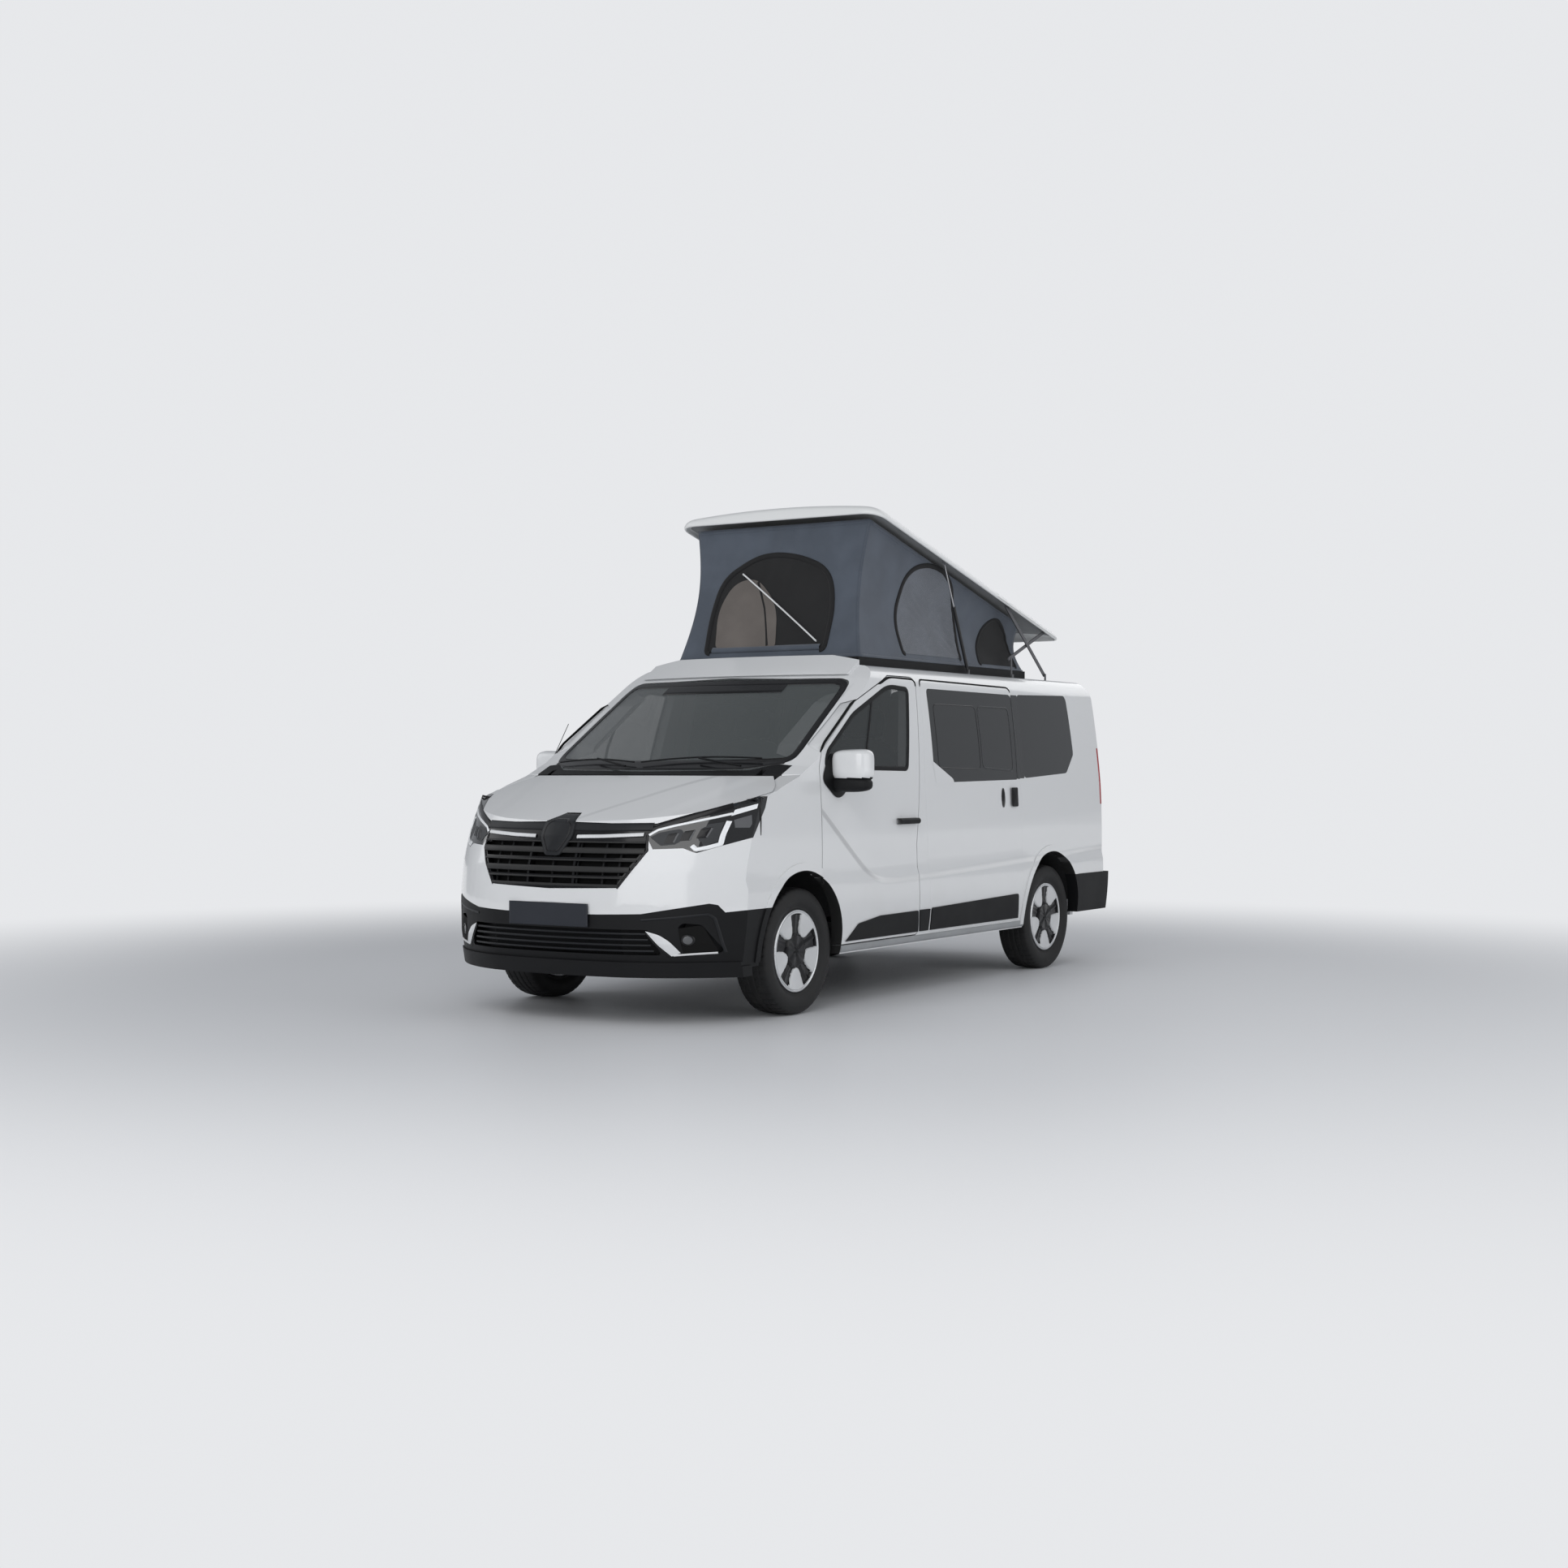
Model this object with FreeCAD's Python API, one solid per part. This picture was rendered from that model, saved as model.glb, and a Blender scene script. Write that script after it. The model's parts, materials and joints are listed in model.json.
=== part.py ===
import FreeCAD, Part
import math
import os

# Camper van with a raised pop-top roof, built from separate panels, wheels, doors and fittings.
# Millimetres. Z is up, the front faces -Y, the vehicle's left side is +X.
# The origin lies on the ground, midway along the length and the width.

V = FreeCAD.Vector

# Overall size
LENGTH = 5080.0
WHEELBASE = 3098.0
FRONT_OVERHANG = 1014.0
ROOF_Z = 1968.0
SILL_Z = 300.0
GAP = 6.0
FIT = 0.4
SKIN = 6.0
WALL = 60.0
FRONT_WALL = 45.0
ROOF_WALL = 34.0

FRONT_Y = -LENGTH / 2
REAR_Y = LENGTH / 2
FRONT_AXLE_Y = FRONT_Y + FRONT_OVERHANG
REAR_AXLE_Y = FRONT_AXLE_Y + WHEELBASE
TAIL_Y = REAR_Y - 100.0

# Body side section, from the sill up to the roof gutter
SIDE_SILL_X = 932.0
SIDE_LOW_X = 958.0
SIDE_WIDE_X = 964.0
SWAGE_Z = 700.0
SWAGE_RISE = 50.0
SWAGE_STEP = 11.0
BELT_X = 943.0
BELT_Z = 1220.0
GUTTER_X = 868.0
GUTTER_Z = 1800.0
ROOF_EDGE_X = 770.0
ROOF_EDGE_DROP = 46.0

# Wheels
TYRE_R = 343.0
TYRE_W = 215.0
RIM_R = 224.0
FRONT_HALF_TRACK = 808.0
REAR_HALF_TRACK = 814.0
KINGPIN_X = 668.0
WHEEL_SIDES = 40
HUB_R = 32.5
ARCH_R = 412.0
ARCH_Z = 365.0
FRONT_ARCH_Y = FRONT_AXLE_Y - 25.0
REAR_ARCH_Y = REAR_AXLE_Y - 10.0
FLARE_W = 44.0
FLARE_OUT = 8.0
HOUSE_R = 462.0
HOUSE_IN_X = 485.0
REAR_HOUSE_X = 688.0
HOUSE_T = 12.0
HOUSE_SIDES = 24

# Lifting pads under the sills and the front plate's recess
PAD_X = (720.0, 790.0)
PAD_Y = (-980.0, 980.0)
PAD_HALF = 45.0
PLATE_HALF = 265.0
PLATE_Z = (505.0, 634.0)
PLATE_DEEP = 6.0

# Floor
FLOOR_Z = 470.0
FLOOR_T = 34.0
FIREWALL_Y = FRONT_Y + 1150.0
BAY_TOP_Z = 1240.0
FLOOR_END_Y = TAIL_Y - 110.0

# Front door outline in the side view
DOOR_FRONT_Y = -1355.0
DOOR_LOW_Z = 352.0
DOOR_REAR_LOW_Y = -264.0
DOOR_REAR_TOP_Y = -146.0
DOOR_TOP_Z = 1864.0
SHUT_GAP = 8.0

# Door, bonnet and tailgate hinges
DOOR_HINGE_X = 938.0
DOOR_SWING_X = 858.0
DASH_HALF = 846.0
DOOR_HINGE_Y = DOOR_FRONT_Y + 60.0
DOOR_HINGE_Z = (872.0, 1104.0)
HINGE_H = 46.0
BARREL_R = 6.5
PIN_R = 3.6
BONNET_HINGE_X = 720.0
BONNET_HINGE_Y = FRONT_Y + 948.0
BONNET_HINGE_Z = 1270.0
TAIL_HINGE_X = 420.0
TAIL_HINGE_Y = TAIL_Y - 88.0
TAIL_HINGE_Z = 1858.0

# Pop-top, which opens by four arms hinged behind it
OPEN_HALF = 600.0
OPEN_FRONT_Y = -400.0
OPEN_REAR_Y = 1740.0
SHELL_HALF = 742.0
SHELL_FRONT_Y = -556.0
SHELL_REAR_Y = 2005.0
SHELL_Z = 1955.0
SHELL_RIM = 52.0
SHELL_TOP = 95.0
SHELL_T = 18.0
SHELL_CORNER = 40.0
ARM_LEN = 728.0
ARM_ROOT_Y = 1966.0
ARM_ROOT_Z = 1966.0
ARM_ANGLE = 36.5
ROOF_ANGLE = 14.3
ARM_X = 700.0
ARM_T = 7.0
ARM_W = 26.0
LINK_AT = 320.0
LINK_REAR = 290.0
LINK_FRONT = 291.0
LINK_ANGLE = 20.9
POST_Y = 1440.0
POST_Z = 1947.0
POST_LEN = 104.0
POST_ANGLE = 92.0
STRUT_Y = 902.0
STRUT_Z = 1953.0
STRUT_ANGLE = 115.7
BARREL_LEN = 440.0
ROD_LEN = 735.0
STRUT_X = 668.0
CANVAS_HALF = 622.0
CANVAS_T = 6.0
CANVAS_LEAN = 0.18
RAIL_OUT = 646.0
RAIL_Z = 1984.0


def arc(a, b, c):
    return Part.Arc(V(*a), V(*b), V(*c)).toShape()


def line(a, b):
    return Part.makeLine(V(*a), V(*b))


def box(x0, x1, y0, y1, z0, z1):
    return Part.makeBox(x1 - x0, y1 - y0, z1 - z0, V(x0, y0, z0))


def cylinder(radius, start, end):
    a = V(*start)
    b = V(*end)
    return Part.makeCylinder(radius, (b - a).Length, a, b - a)


def tube(outer, inner, start, end):
    return cylinder(outer, start, end).cut(cylinder(inner, start, end))


def rod(radius, start, end, sides=12):
    """A plain rod with flat sides, for pipes, springs and rims that nothing turns on."""
    a = V(*start)
    run = V(*end) - a
    u = run.cross(V(0, 0, 1)) if abs(run.z) < 0.9 * run.Length else run.cross(V(1, 0, 0))
    u.normalize()
    w = run.cross(u)
    w.normalize()
    turn = 2 * math.pi / sides
    points = [
        a + u * (radius * math.cos(turn * i)) + w * (radius * math.sin(turn * i))
        for i in range(sides)
    ]
    return Part.Face(Part.makePolygon(points + points[:1])).extrude(run)


def mirror(shape):
    return shape.mirror(V(0, 0, 0), V(1, 0, 0))


def both(shape):
    return [shape, mirror(shape)]


def outline(points, place):
    """A closed wire through (u, v) or (u, v, radius) corners, each radius an arc."""
    n = len(points)
    edges = []
    ends = []
    for i in range(n):
        u, v = points[i][:2]
        r = points[i][2] if len(points[i]) > 2 else 0.0
        if r == 0:
            ends.append(((u, v), None, (u, v)))
            continue
        pu, pv = points[i - 1][:2]
        nu, nv = points[(i + 1) % n][:2]
        a = V(pu - u, pv - v, 0).normalize()
        b = V(nu - u, nv - v, 0).normalize()
        half = a.getAngle(b) / 2
        t = r / math.tan(half)
        mid = (a + b).normalize() * (r / math.sin(half) - r)
        ends.append(((u + a.x * t, v + a.y * t), (u + mid.x, v + mid.y), (u + b.x * t, v + b.y * t)))
    for i in range(n):
        first, middle, last = ends[i]
        if middle:
            edges.append(arc(place(*first), place(*middle), place(*last)))
        follow = ends[(i + 1) % n][0]
        if math.dist(last, follow) > 0.01:
            edges.append(line(place(*last), place(*follow)))
    return Part.Wire(edges)


def prism_x(points, x0, x1):
    """A (y, z) outline carried along X."""
    wire = outline(points, lambda u, v: (x0, u, v))
    return Part.Face(wire).extrude(V(x1 - x0, 0, 0))


def prism_y(points, y0, y1):
    """An (x, z) outline carried along Y."""
    wire = outline(points, lambda u, v: (u, y0, v))
    return Part.Face(wire).extrude(V(0, y1 - y0, 0))


def prism_z(points, z0, z1):
    """An (x, y) outline carried along Z."""
    wire = outline(points, lambda u, v: (u, v, z0))
    return Part.Face(wire).extrude(V(0, 0, z1 - z0))


def mirrored(points):
    return [(-p[0],) + tuple(p[1:]) for p in reversed(points)]


def fuse(shapes):
    first = shapes[0]
    return first.fuse(shapes[1:]).removeSplitter() if len(shapes) > 1 else first


def cut(shape, tools):
    return shape.cut(tools)


def solids(shape, least=2000.0):
    """The shape's solids without crumbs."""
    return Part.makeCompound([s for s in shape.Solids if s.Volume > least])


def biggest(shape):
    return max(shape.Solids, key=lambda s: s.Volume)


# Hull surfaces

def section(inset, top_inset=0.0, swage=True):
    """The body's cross-section moved inwards, as a prism along the whole length."""
    s = SWAGE_STEP if swage else SWAGE_STEP * 0.5
    side = [
        ((SIDE_SILL_X, SILL_Z), (SIDE_LOW_X, 480.0), (SIDE_WIDE_X, SWAGE_Z)),
        ((SIDE_WIDE_X, SWAGE_Z), None, (SIDE_WIDE_X - s, SWAGE_Z + SWAGE_RISE)),
        ((SIDE_WIDE_X - s, SWAGE_Z + SWAGE_RISE), (SIDE_WIDE_X - s, 960.0), (BELT_X, BELT_Z)),
        ((BELT_X, BELT_Z), (914.0, 1500.0), (GUTTER_X, GUTTER_Z)),
    ]
    y0 = FRONT_Y - 100.0

    def at(p, sign):
        return (sign * (p[0] - inset), y0, p[1])

    edge = (ROOF_EDGE_X - inset * 0.5, ROOF_Z - ROOF_EDGE_DROP - top_inset)
    side.append(
        ((GUTTER_X, GUTTER_Z), (838.0 + inset * 0.3, 1876.0 - top_inset * 0.9), (edge[0] + inset, edge[1]))
    )
    right = []
    left = []
    for a, m, b in side:
        straight = m is None or inset >= WALL
        right.append(line(at(a, 1), at(b, 1)) if straight else arc(at(a, 1), at(m, 1), at(b, 1)))
        left.insert(0, line(at(b, -1), at(a, -1)) if straight else arc(at(b, -1), at(m, -1), at(a, -1)))
    roof = arc((edge[0], y0, edge[1]), (0, y0, ROOF_Z - top_inset), (-edge[0], y0, edge[1]))
    base = line(at(side[0][0], -1), at(side[0][0], 1))
    wire = Part.Wire(right + [roof] + left + [base])
    return Part.Face(wire).extrude(V(0, LENGTH + 200.0, 0))


# Height and front of the nose on its centre line, then of the bonnet and windscreen
NOSE_LEVELS = [
    (SILL_Z - 60.0, FRONT_Y + 48.0),
    (430.0, FRONT_Y + 8.0),
    (620.0, FRONT_Y),
    (820.0, FRONT_Y + 25.0),
    (975.0, FRONT_Y + 78.0),
    (1058.0, FRONT_Y + 122.0),
    (1179.0, FRONT_Y + 186.0),
    (2300.0, FRONT_Y + 780.0),
]
BONNET_LEVELS = [
    (200.0, FRONT_Y - 120.0),
    (980.0, FRONT_Y - 60.0),
    (1040.0, FRONT_Y + 95.0),
    (1068.0, FRONT_Y + 165.0),
    (1112.0, FRONT_Y + 285.0),
    (1166.0, FRONT_Y + 440.0),
    (1240.0, FRONT_Y + 640.0),
    (1294.0, FRONT_Y + 800.0),
    (1365.0, FRONT_Y + 938.0),
    (1600.0, FRONT_Y + 1306.0),
    (1850.0, FRONT_Y + 1698.0),
    (2000.0, FRONT_Y + 1940.0),
    (2090.0, FRONT_Y + 2085.0),
]
FRONT_STOPS = [(-1000, -900, -800), (-800, -620, -420), (-420, 0, 420), (420, 620, 800), (800, 900, 1000)]
CROWN = 26.0
SCREEN_BEND = 150.0


def nose_point(level, x):
    """A point of the nose's wall, with its plan curve."""
    u = abs(x) / 970.0
    return (x, level[1] + 60.0 * u * u + 375.0 * u ** 3, level[0])


def bonnet_point(level, x):
    """A point of the bonnet or the windscreen, with the crown and the screen's plan curve."""
    z, y = level
    share = min(1.0, max(0.12, (z - 1060.0) / 290.0))
    crown = CROWN * min(1.0, max(0.0, min((z - 980.0) / 120.0, (1400.0 - z) / 300.0)))
    return (x, y + SCREEN_BEND * share * (x / 800.0) ** 2, z - crown * (x / 800.0) ** 2)


def stack(levels, point, back=0.0, flat=False):
    """Plan outlines of the front at each level joined by ruled faces, open behind the tail.

    Flat outlines run straight between their stops, for an inner face that nobody sees."""
    wires = []
    end = REAR_Y + 200.0
    for level in levels:
        edges = []
        for stop in FRONT_STOPS:
            p = [point((level[0], level[1] + back), x) for x in stop]
            edges.append(line(p[0], p[2]) if flat else arc(*p))
        left = point((level[0], level[1] + back), 1000)
        edges.append(line(left, (1000, end, left[2])))
        edges.append(line((1000, end, left[2]), (-1000, end, left[2])))
        edges.append(line((-1000, end, left[2]), (-1000,) + left[1:]))
        wires.append(Part.Wire(edges))
    return Part.makeLoft(wires, True, True)


def nose(back=0.0):
    return stack(NOSE_LEVELS, nose_point, back)


def brow(back=0.0):
    return stack(BONNET_LEVELS, bonnet_point, back)


def inner_nose(back):
    return stack(NOSE_LEVELS[::2] + NOSE_LEVELS[-1:], nose_point, back, True)


def inner_brow(back):
    return stack(BONNET_LEVELS[::2], bonnet_point, back, True)


def tail(back=0.0):
    """The rear's leaning profile and its curved plan, closed in front of the nose."""
    y = TAIL_Y - back
    front = FRONT_Y - 200.0
    at = [
        (y, 200.0),
        (y, 900.0),
        (y - 9, 1300.0),
        (y - 38, 1680.0),
        (y - 54, 1800.0),
        (y - 98, 1925.0),
        (y - 160, 2000.0),
    ]
    p = [(0, v, z) for v, z in at]
    edges = [line(p[0], p[1]), arc(p[1], p[2], p[3]), arc(p[3], p[4], p[5]), line(p[5], p[6])]
    top = (0, y - 160, 2150.0)
    edges += [line(p[6], top), line(top, (0, front, 2150.0)), line((0, front, 2150.0), (0, front, 200.0))]
    edges.append(line((0, front, 200.0), p[0]))
    profile = Part.Face(Part.Wire(edges)).extrude(V(2200, 0, 0))
    profile.translate(V(-1100, 0, 0))
    y = y + 2.0
    curve = [
        arc((-1100, y - 90, 200), (0, y, 200), (1100, y - 90, 200)),
        line((1100, y - 90, 200), (1100, front, 200)),
    ]
    curve += [line((1100, front, 200), (-1100, front, 200)), line((-1100, front, 200), (-1100, y - 90, 200))]
    plan = Part.Face(Part.Wire(curve)).extrude(V(0, 0, 2000))
    return profile.common(plan)


def flare(arch_y, end_y):
    """The raised lip round one wheel arch, still without its side's form."""
    x0 = SIDE_WIDE_X - 140.0
    ring = tube(ARCH_R + FLARE_W, ARCH_R, (x0, arch_y, ARCH_Z), (x0 + 200.0, arch_y, ARCH_Z))
    return ring.common(box(x0, x0 + 200.0, arch_y - 600, end_y, SILL_Z + 20.0, 900.0))


def make_shell():
    """The whole body as one shell: hull with arch lips, less the cabin, engine bay and wheel arches."""
    nose_body = nose()
    hull = section(0.0).common(nose_body).common(brow()).common(tail())
    lips = fuse(
        both(flare(FRONT_ARCH_Y, DOOR_FRONT_Y - 4.0)) + both(flare(REAR_ARCH_Y, REAR_ARCH_Y + 600.0))
    )
    lips = lips.common(section(-FLARE_OUT)).common(nose_body)
    hull = hull.fuse(lips)
    inner = section(WALL, ROOF_WALL, False)
    slope = 0.636
    cabin_side = [
        (FIREWALL_Y, SILL_Z - 50.0),
        (FIREWALL_Y, 1290.0),
        (-1560.0, 1330.0),
        (-450.0, 1330.0 + slope * 1110.0),
        (TAIL_Y - 110.0, ROOF_Z + 90.0),
        (TAIL_Y - 110.0, 1800.0),
        (TAIL_Y - 75.0, 900.0),
        (TAIL_Y - 75.0, SILL_Z - 50.0),
    ]
    cabin = inner.common(prism_x(cabin_side, -1000, 1000)).common(inner_brow(95.0)).common(tail(45.0))
    bay = section(FRONT_WALL, 0.0, False).common(inner_nose(FRONT_WALL)).common(inner_brow(FRONT_WALL))
    bay_top = [
        (FRONT_Y, SILL_Z - 50.0), (FRONT_Y, 960.0), (FRONT_Y + 140.0, 985.0), (FRONT_Y + 290.0, 1050.0)
    ]
    bay_top += [
        (FRONT_Y + 540.0, 1160.0),
        (FRONT_Y + 840.0, BAY_TOP_Z),
        (FIREWALL_Y, BAY_TOP_Z),
        (FIREWALL_Y, SILL_Z - 50.0),
    ]
    bay = bay.common(prism_x(bay_top, -1000, 1000))
    arches = []
    for y in (FRONT_ARCH_Y, REAR_ARCH_Y):
        arches += both(cylinder(ARCH_R, (HOUSE_IN_X, y, ARCH_Z), (1100, y, ARCH_Z)))
        arches += both(box(HOUSE_IN_X, 1100, y - ARCH_R + 12, y + ARCH_R - 12, SILL_Z - 60.0, ARCH_Z - 60.0))
    return cut(hull, [cabin, bay] + arches)


# Outlines of the openings, in the side view (y, z) or the front view (x, z)
FRONT_DOOR = [
    (DOOR_REAR_LOW_Y, DOOR_LOW_Z, 30),
    (-298.0, 880.0),
    (DOOR_REAR_TOP_Y, DOOR_TOP_Z, 40),
    (-455.0, DOOR_TOP_Z, 60),
    (-930.0, 1688.0),
    (-1300.0, 1448.0, 60),
    (DOOR_FRONT_Y, 1330.0, 30),
    (DOOR_FRONT_Y, DOOR_LOW_Z),
]
FRONT_WINDOW = [
    (-372.0, 1323.0, 20),
    (-259.0, 1792.0, 20),
    (-488.0, 1803.0, 50),
    (-933.0, 1629.0),
    (-1262.0, 1412.0, 25),
    (-1290.0, 1335.0, 20),
]
SLIDING_DOOR = [
    (1110.0, DOOR_LOW_Z, 60),
    (1110.0, 1846.0, 50),
    (-96.0, 1858.0, 40),
    (-172.0, 1200.0),
    (-132.0, DOOR_LOW_Z, 30),
]
SLIDING_WINDOW = [
    (1078.0, 1254.0, 30),
    (1118.0, 1800.0, 45),
    (-28.0, 1805.0, 30),
    (-46.0, 1362.0, 30),
    (-10.0, 1240.0, 40),
]
QUARTER_WINDOW = [
    (1825.0, 1294.0, 60),
    (1962.0, 1420.0, 40),
    (1954.0, 1819.0, 45),
    (1192.0, 1803.0, 45),
    (1165.0, 1262.0, 40),
]
TAILGATE = [(790.0, 640.0, 40), (800.0, 1100.0), (770.0, 1500.0), (706.0, 1888.0, 60)]
TAIL_WINDOW = [(690.0, 1230.0, 60), (632.0, 1782.0, 60)]
TAIL_LAMP = [(905.0, 1066.0, 15), (905.0, 1474.0, 30), (806.0, 1474.0, 30), (812.0, 1066.0, 20)]
SCREEN = [(822.0, 1370.0, 40), (770.0, 1836.0, 50), (0.0, 1856.0)]
SCREEN_FOOT = [(0.0, 1308.0), (640.0, 1316.0)]
GRILLE = [
    (548.0, 903.0, 10), (532.0, 968.0), (556.0, 1046.0), (100.0, 1054.0), (52.0, 1100.0), (0.0, 1100.0)
]
GRILLE_FOOT = [(0.0, 702.0), (412.0, 713.0, 24)]
LAMP = [
    (523.0, 978.0),
    (566.0, 911.0),
    (700.0, 917.0),
    (758.0, 892.0, 10),
    (1030.0, 998.0),
    (1030.0, 1262.0),
    (858.0, 1160.0),
]
LAMP += [(728.0, 1109.0), (560.0, 1050.0)]
LAMP_SIDE = [
    (FRONT_Y + 440.0, 860.0),
    (FRONT_Y + 492.0, 960.0, 12),
    (FRONT_Y + 622.0, 1122.0, 12),
    (FRONT_Y + 648.0, 1180.0),
]
BONNET_EDGE = [
    (0.0, 1086.0),
    (48.0, 1086.0),
    (94.0, 1041.0),
    (520.0, 1032.0),
    (558.0, 1037.0),
    (728.0, 1098.0),
    (858.0, 1149.0),
]
BONNET_EDGE += [(938.0, 1200.0), (1000.0, 1236.0)]
BONNET_SIDE = [
    (-100.0, 930.0),
    (240.0, 930.0),
    (510.0, 1100.0),
    (640.0, 1172.0),
    (698.0, 1198.0),
    (818.0, 1243.0),
    (938.0, 1291.0),
]
BONNET_SIDE += [(1240.0, 1330.0)]
SEAM = [
    (840.0, 200.0),
    (840.0, 700.0),
    (797.0, 738.0),
    (744.0, 763.0),
    (630.0, 859.0),
    (535.0, 960.0),
    (505.0, 1000.0),
    (-150.0, 1060.0),
]
COVER_FOOT = [
    (0.0, 574.0),
    (300.0, 576.0),
    (540.0, 583.0),
    (722.0, 616.0),
    (829.0, 636.0),
    (862.0, 628.0),
    (888.0, 590.0),
]
COVER_FOOT += [(1000.0, 604.0)]
LOWER_GRILLE = [(570.0, 502.0, 12), (628.0, 372.0, 12)]
FOG_RECESS = [(700.0, 540.0, 30), (800.0, 528.0, 30), (890.0, 384.0, 20), (720.0, 376.0, 20)]
SLOT_LOW_Z = 722.0
SLOT_TOP_Z = 948.0
SLOT_ROWS = 5
SLAT_H = 15.0
RIB_X = 150.0
RIB_W = 14.0
COWL_MID_Y = FRONT_Y + 795.0
COWL_SIDE_Y = FRONT_Y + 1022.0
COWL_REACH = 1000.0
SCUTTLE_X = 838.0
SHUT_Y = DOOR_FRONT_Y - SHUT_GAP


def centred(half):
    """A full outline from its right half, listed from the lower middle outwards."""
    return half + mirrored([p for p in half if p[0] != 0])


def spread(prism_points, distance, side, reach):
    """A prism of an outline grown by a distance, for the opening that a piece closes."""
    x0, x1 = reach
    if side == "x":
        wire = outline(prism_points, lambda u, v: (x0, u, v))
        run = V(x1 - x0, 0, 0)
    else:
        wire = outline(prism_points, lambda u, v: (u, x0, v))
        run = V(0, x1 - x0, 0)
    if distance:
        wire = wire.makeOffset2D(distance)
    return Part.Face(wire).extrude(run)


def above(line_points, extra, y0, y1):
    """Everything above a line of the front view, mirrored across the middle."""
    right = [(x, z - extra) for x, z in line_points]
    left = [(-x, z) for x, z in reversed(right) if x > 0]
    reach = right[-1][0] + 60.0
    ends = [(reach, right[-1][1]), (reach, 2400.0), (-reach, 2400.0), (-reach, right[-1][1])]
    return prism_y(left + right + ends, y0, y1)


def front_zone():
    """The part of the shell ahead of the doors and below the windscreen's pillars."""
    y0 = FRONT_Y - 150.0
    return [
        (y0, 200.0),
        (SHUT_Y, 200.0),
        (SHUT_Y, 1292.0),
        (FRONT_Y + 1000.0, 1368.0),
        (FRONT_Y + 740.0, 1420.0),
        (y0, 1420.0),
    ]


def screen_zone():
    """The windscreen's outline carried back, clear of the front doors."""
    zone = prism_y(centred(SCREEN_FOOT + SCREEN), FRONT_Y + 640.0, SHELL_FRONT_Y - 4.0)
    return zone.cut(both(spread(FRONT_DOOR, 2 * GAP, "x", (640.0, 1000.0))))


def cowl_zone(extra, half):
    """Plan of everything behind the bonnet's rear edge."""
    back = DOOR_FRONT_Y + 25.0
    y = COWL_SIDE_Y + extra
    reach = COWL_REACH
    edges = [arc((-reach, y, 900), (0, COWL_MID_Y + extra, 900), (reach, y, 900))]
    edges.append(line((reach, y, 900), (reach, back, 900)))
    edges.append(line((reach, back, 900), (-reach, back, 900)))
    edges.append(line((-reach, back, 900), (-reach, y, 900)))
    zone = Part.Face(Part.Wire(edges)).extrude(V(0, 0, 700))
    return zone.common(box(-half, half, FRONT_Y, back, 900, 1700))


nodes = {}


def split_front(front):
    """The nose's panels, cut one after another from the front of the shell."""
    y0 = FRONT_Y - 100.0
    side = [(FRONT_Y + u, z) for u, z in BONNET_SIDE] + [(FRONT_Y + 1240.0, 2400.0), (y0, 2400.0)]
    behind = cowl_zone(0.0, 1100.0)
    over = above(
        BONNET_EDGE, -GAP, y0, SHUT_Y
    ).common(prism_x(side, -1000, 1000)).cut(cowl_zone(-3 * GAP, 1100.0))
    nodes["bonnet"] = biggest(front.common(over))
    wide = above(BONNET_EDGE, 0.0, y0, SHUT_Y).common(prism_x([(y, z - GAP) for y, z in side], -1000, 1000))
    rest = front.cut(wide.cut(behind))
    scuttle_zone = cowl_zone(0.0, SCUTTLE_X)
    nodes["scuttle"] = biggest(rest.common(scuttle_zone))
    rest = rest.cut(scuttle_zone)
    grille_zone = prism_y(centred(GRILLE_FOOT + GRILLE), y0, FRONT_Y + 440.0)
    nodes["grille"] = slats(solids(rest.common(grille_zone)))
    rest = rest.cut(grille_zone)
    lamp_side = prism_x([(y0, 860.0)] + LAMP_SIDE + [(y0, 1180.0)], -1000, 1000)
    lamps = [lamp.common(lamp_side) for lamp in both(prism_y(LAMP, y0, FRONT_Y + 660.0))]
    nodes["headlamps"] = solids(rest.common(Part.makeCompound(lamps)), 300000.0)
    rest = rest.cut(lamps)
    bumper_zone = prism_x([(y0, 200.0)] + [(FRONT_Y + u, z) for u, z in SEAM], -1000, 1000)
    bumper = rest.common(bumper_zone).cut(
        box(-PLATE_HALF, PLATE_HALF, y0, FRONT_Y + PLATE_DEEP, PLATE_Z[0], PLATE_Z[1])
    )
    painted = above(COVER_FOOT, 0.0, y0, FRONT_Y + 940.0)
    nodes["bumper_cover"] = solids(bumper.common(painted), 100000.0)
    nodes["front_bumper"] = front_lower(bumper.cut(painted))
    middle = box(2 - SCUTTLE_X, SCUTTLE_X - 2, FRONT_Y + 700.0, SHUT_Y, 1180.0, 1500.0)
    nodes["front_wings"] = solids(rest.cut([bumper_zone, middle]), 200000.0)


def slats(panel):
    """The grille's frame and bars, left by rows of slots across its panel."""
    slots = []
    pitch = (SLOT_TOP_Z - SLOT_LOW_Z) / SLOT_ROWS
    for i in range(SLOT_ROWS):
        low = SLOT_LOW_Z + pitch * i + SLAT_H / 2
        high = low + pitch - SLAT_H
        half_low = 398.0 + 0.66 * (low - 716.0)
        half_high = 398.0 + 0.66 * (high - 716.0)
        for x0 in (-1, 0, 1):
            left = -half_low if x0 < 0 else (x0 * 2 - 1) * RIB_X + RIB_W / 2
            right = half_low if x0 > 0 else (x0 * 2 + 1) * RIB_X - RIB_W / 2
            top_left = -half_high if x0 < 0 else left
            top_right = half_high if x0 > 0 else right
            slots.append(
                prism_y(
                    [(left, low), (right, low), (top_right, high), (top_left, high)],
                    FRONT_Y - 100.0,
                    FRONT_Y + 400.0,
                )
            )
    return biggest(panel.cut(slots))


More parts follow.
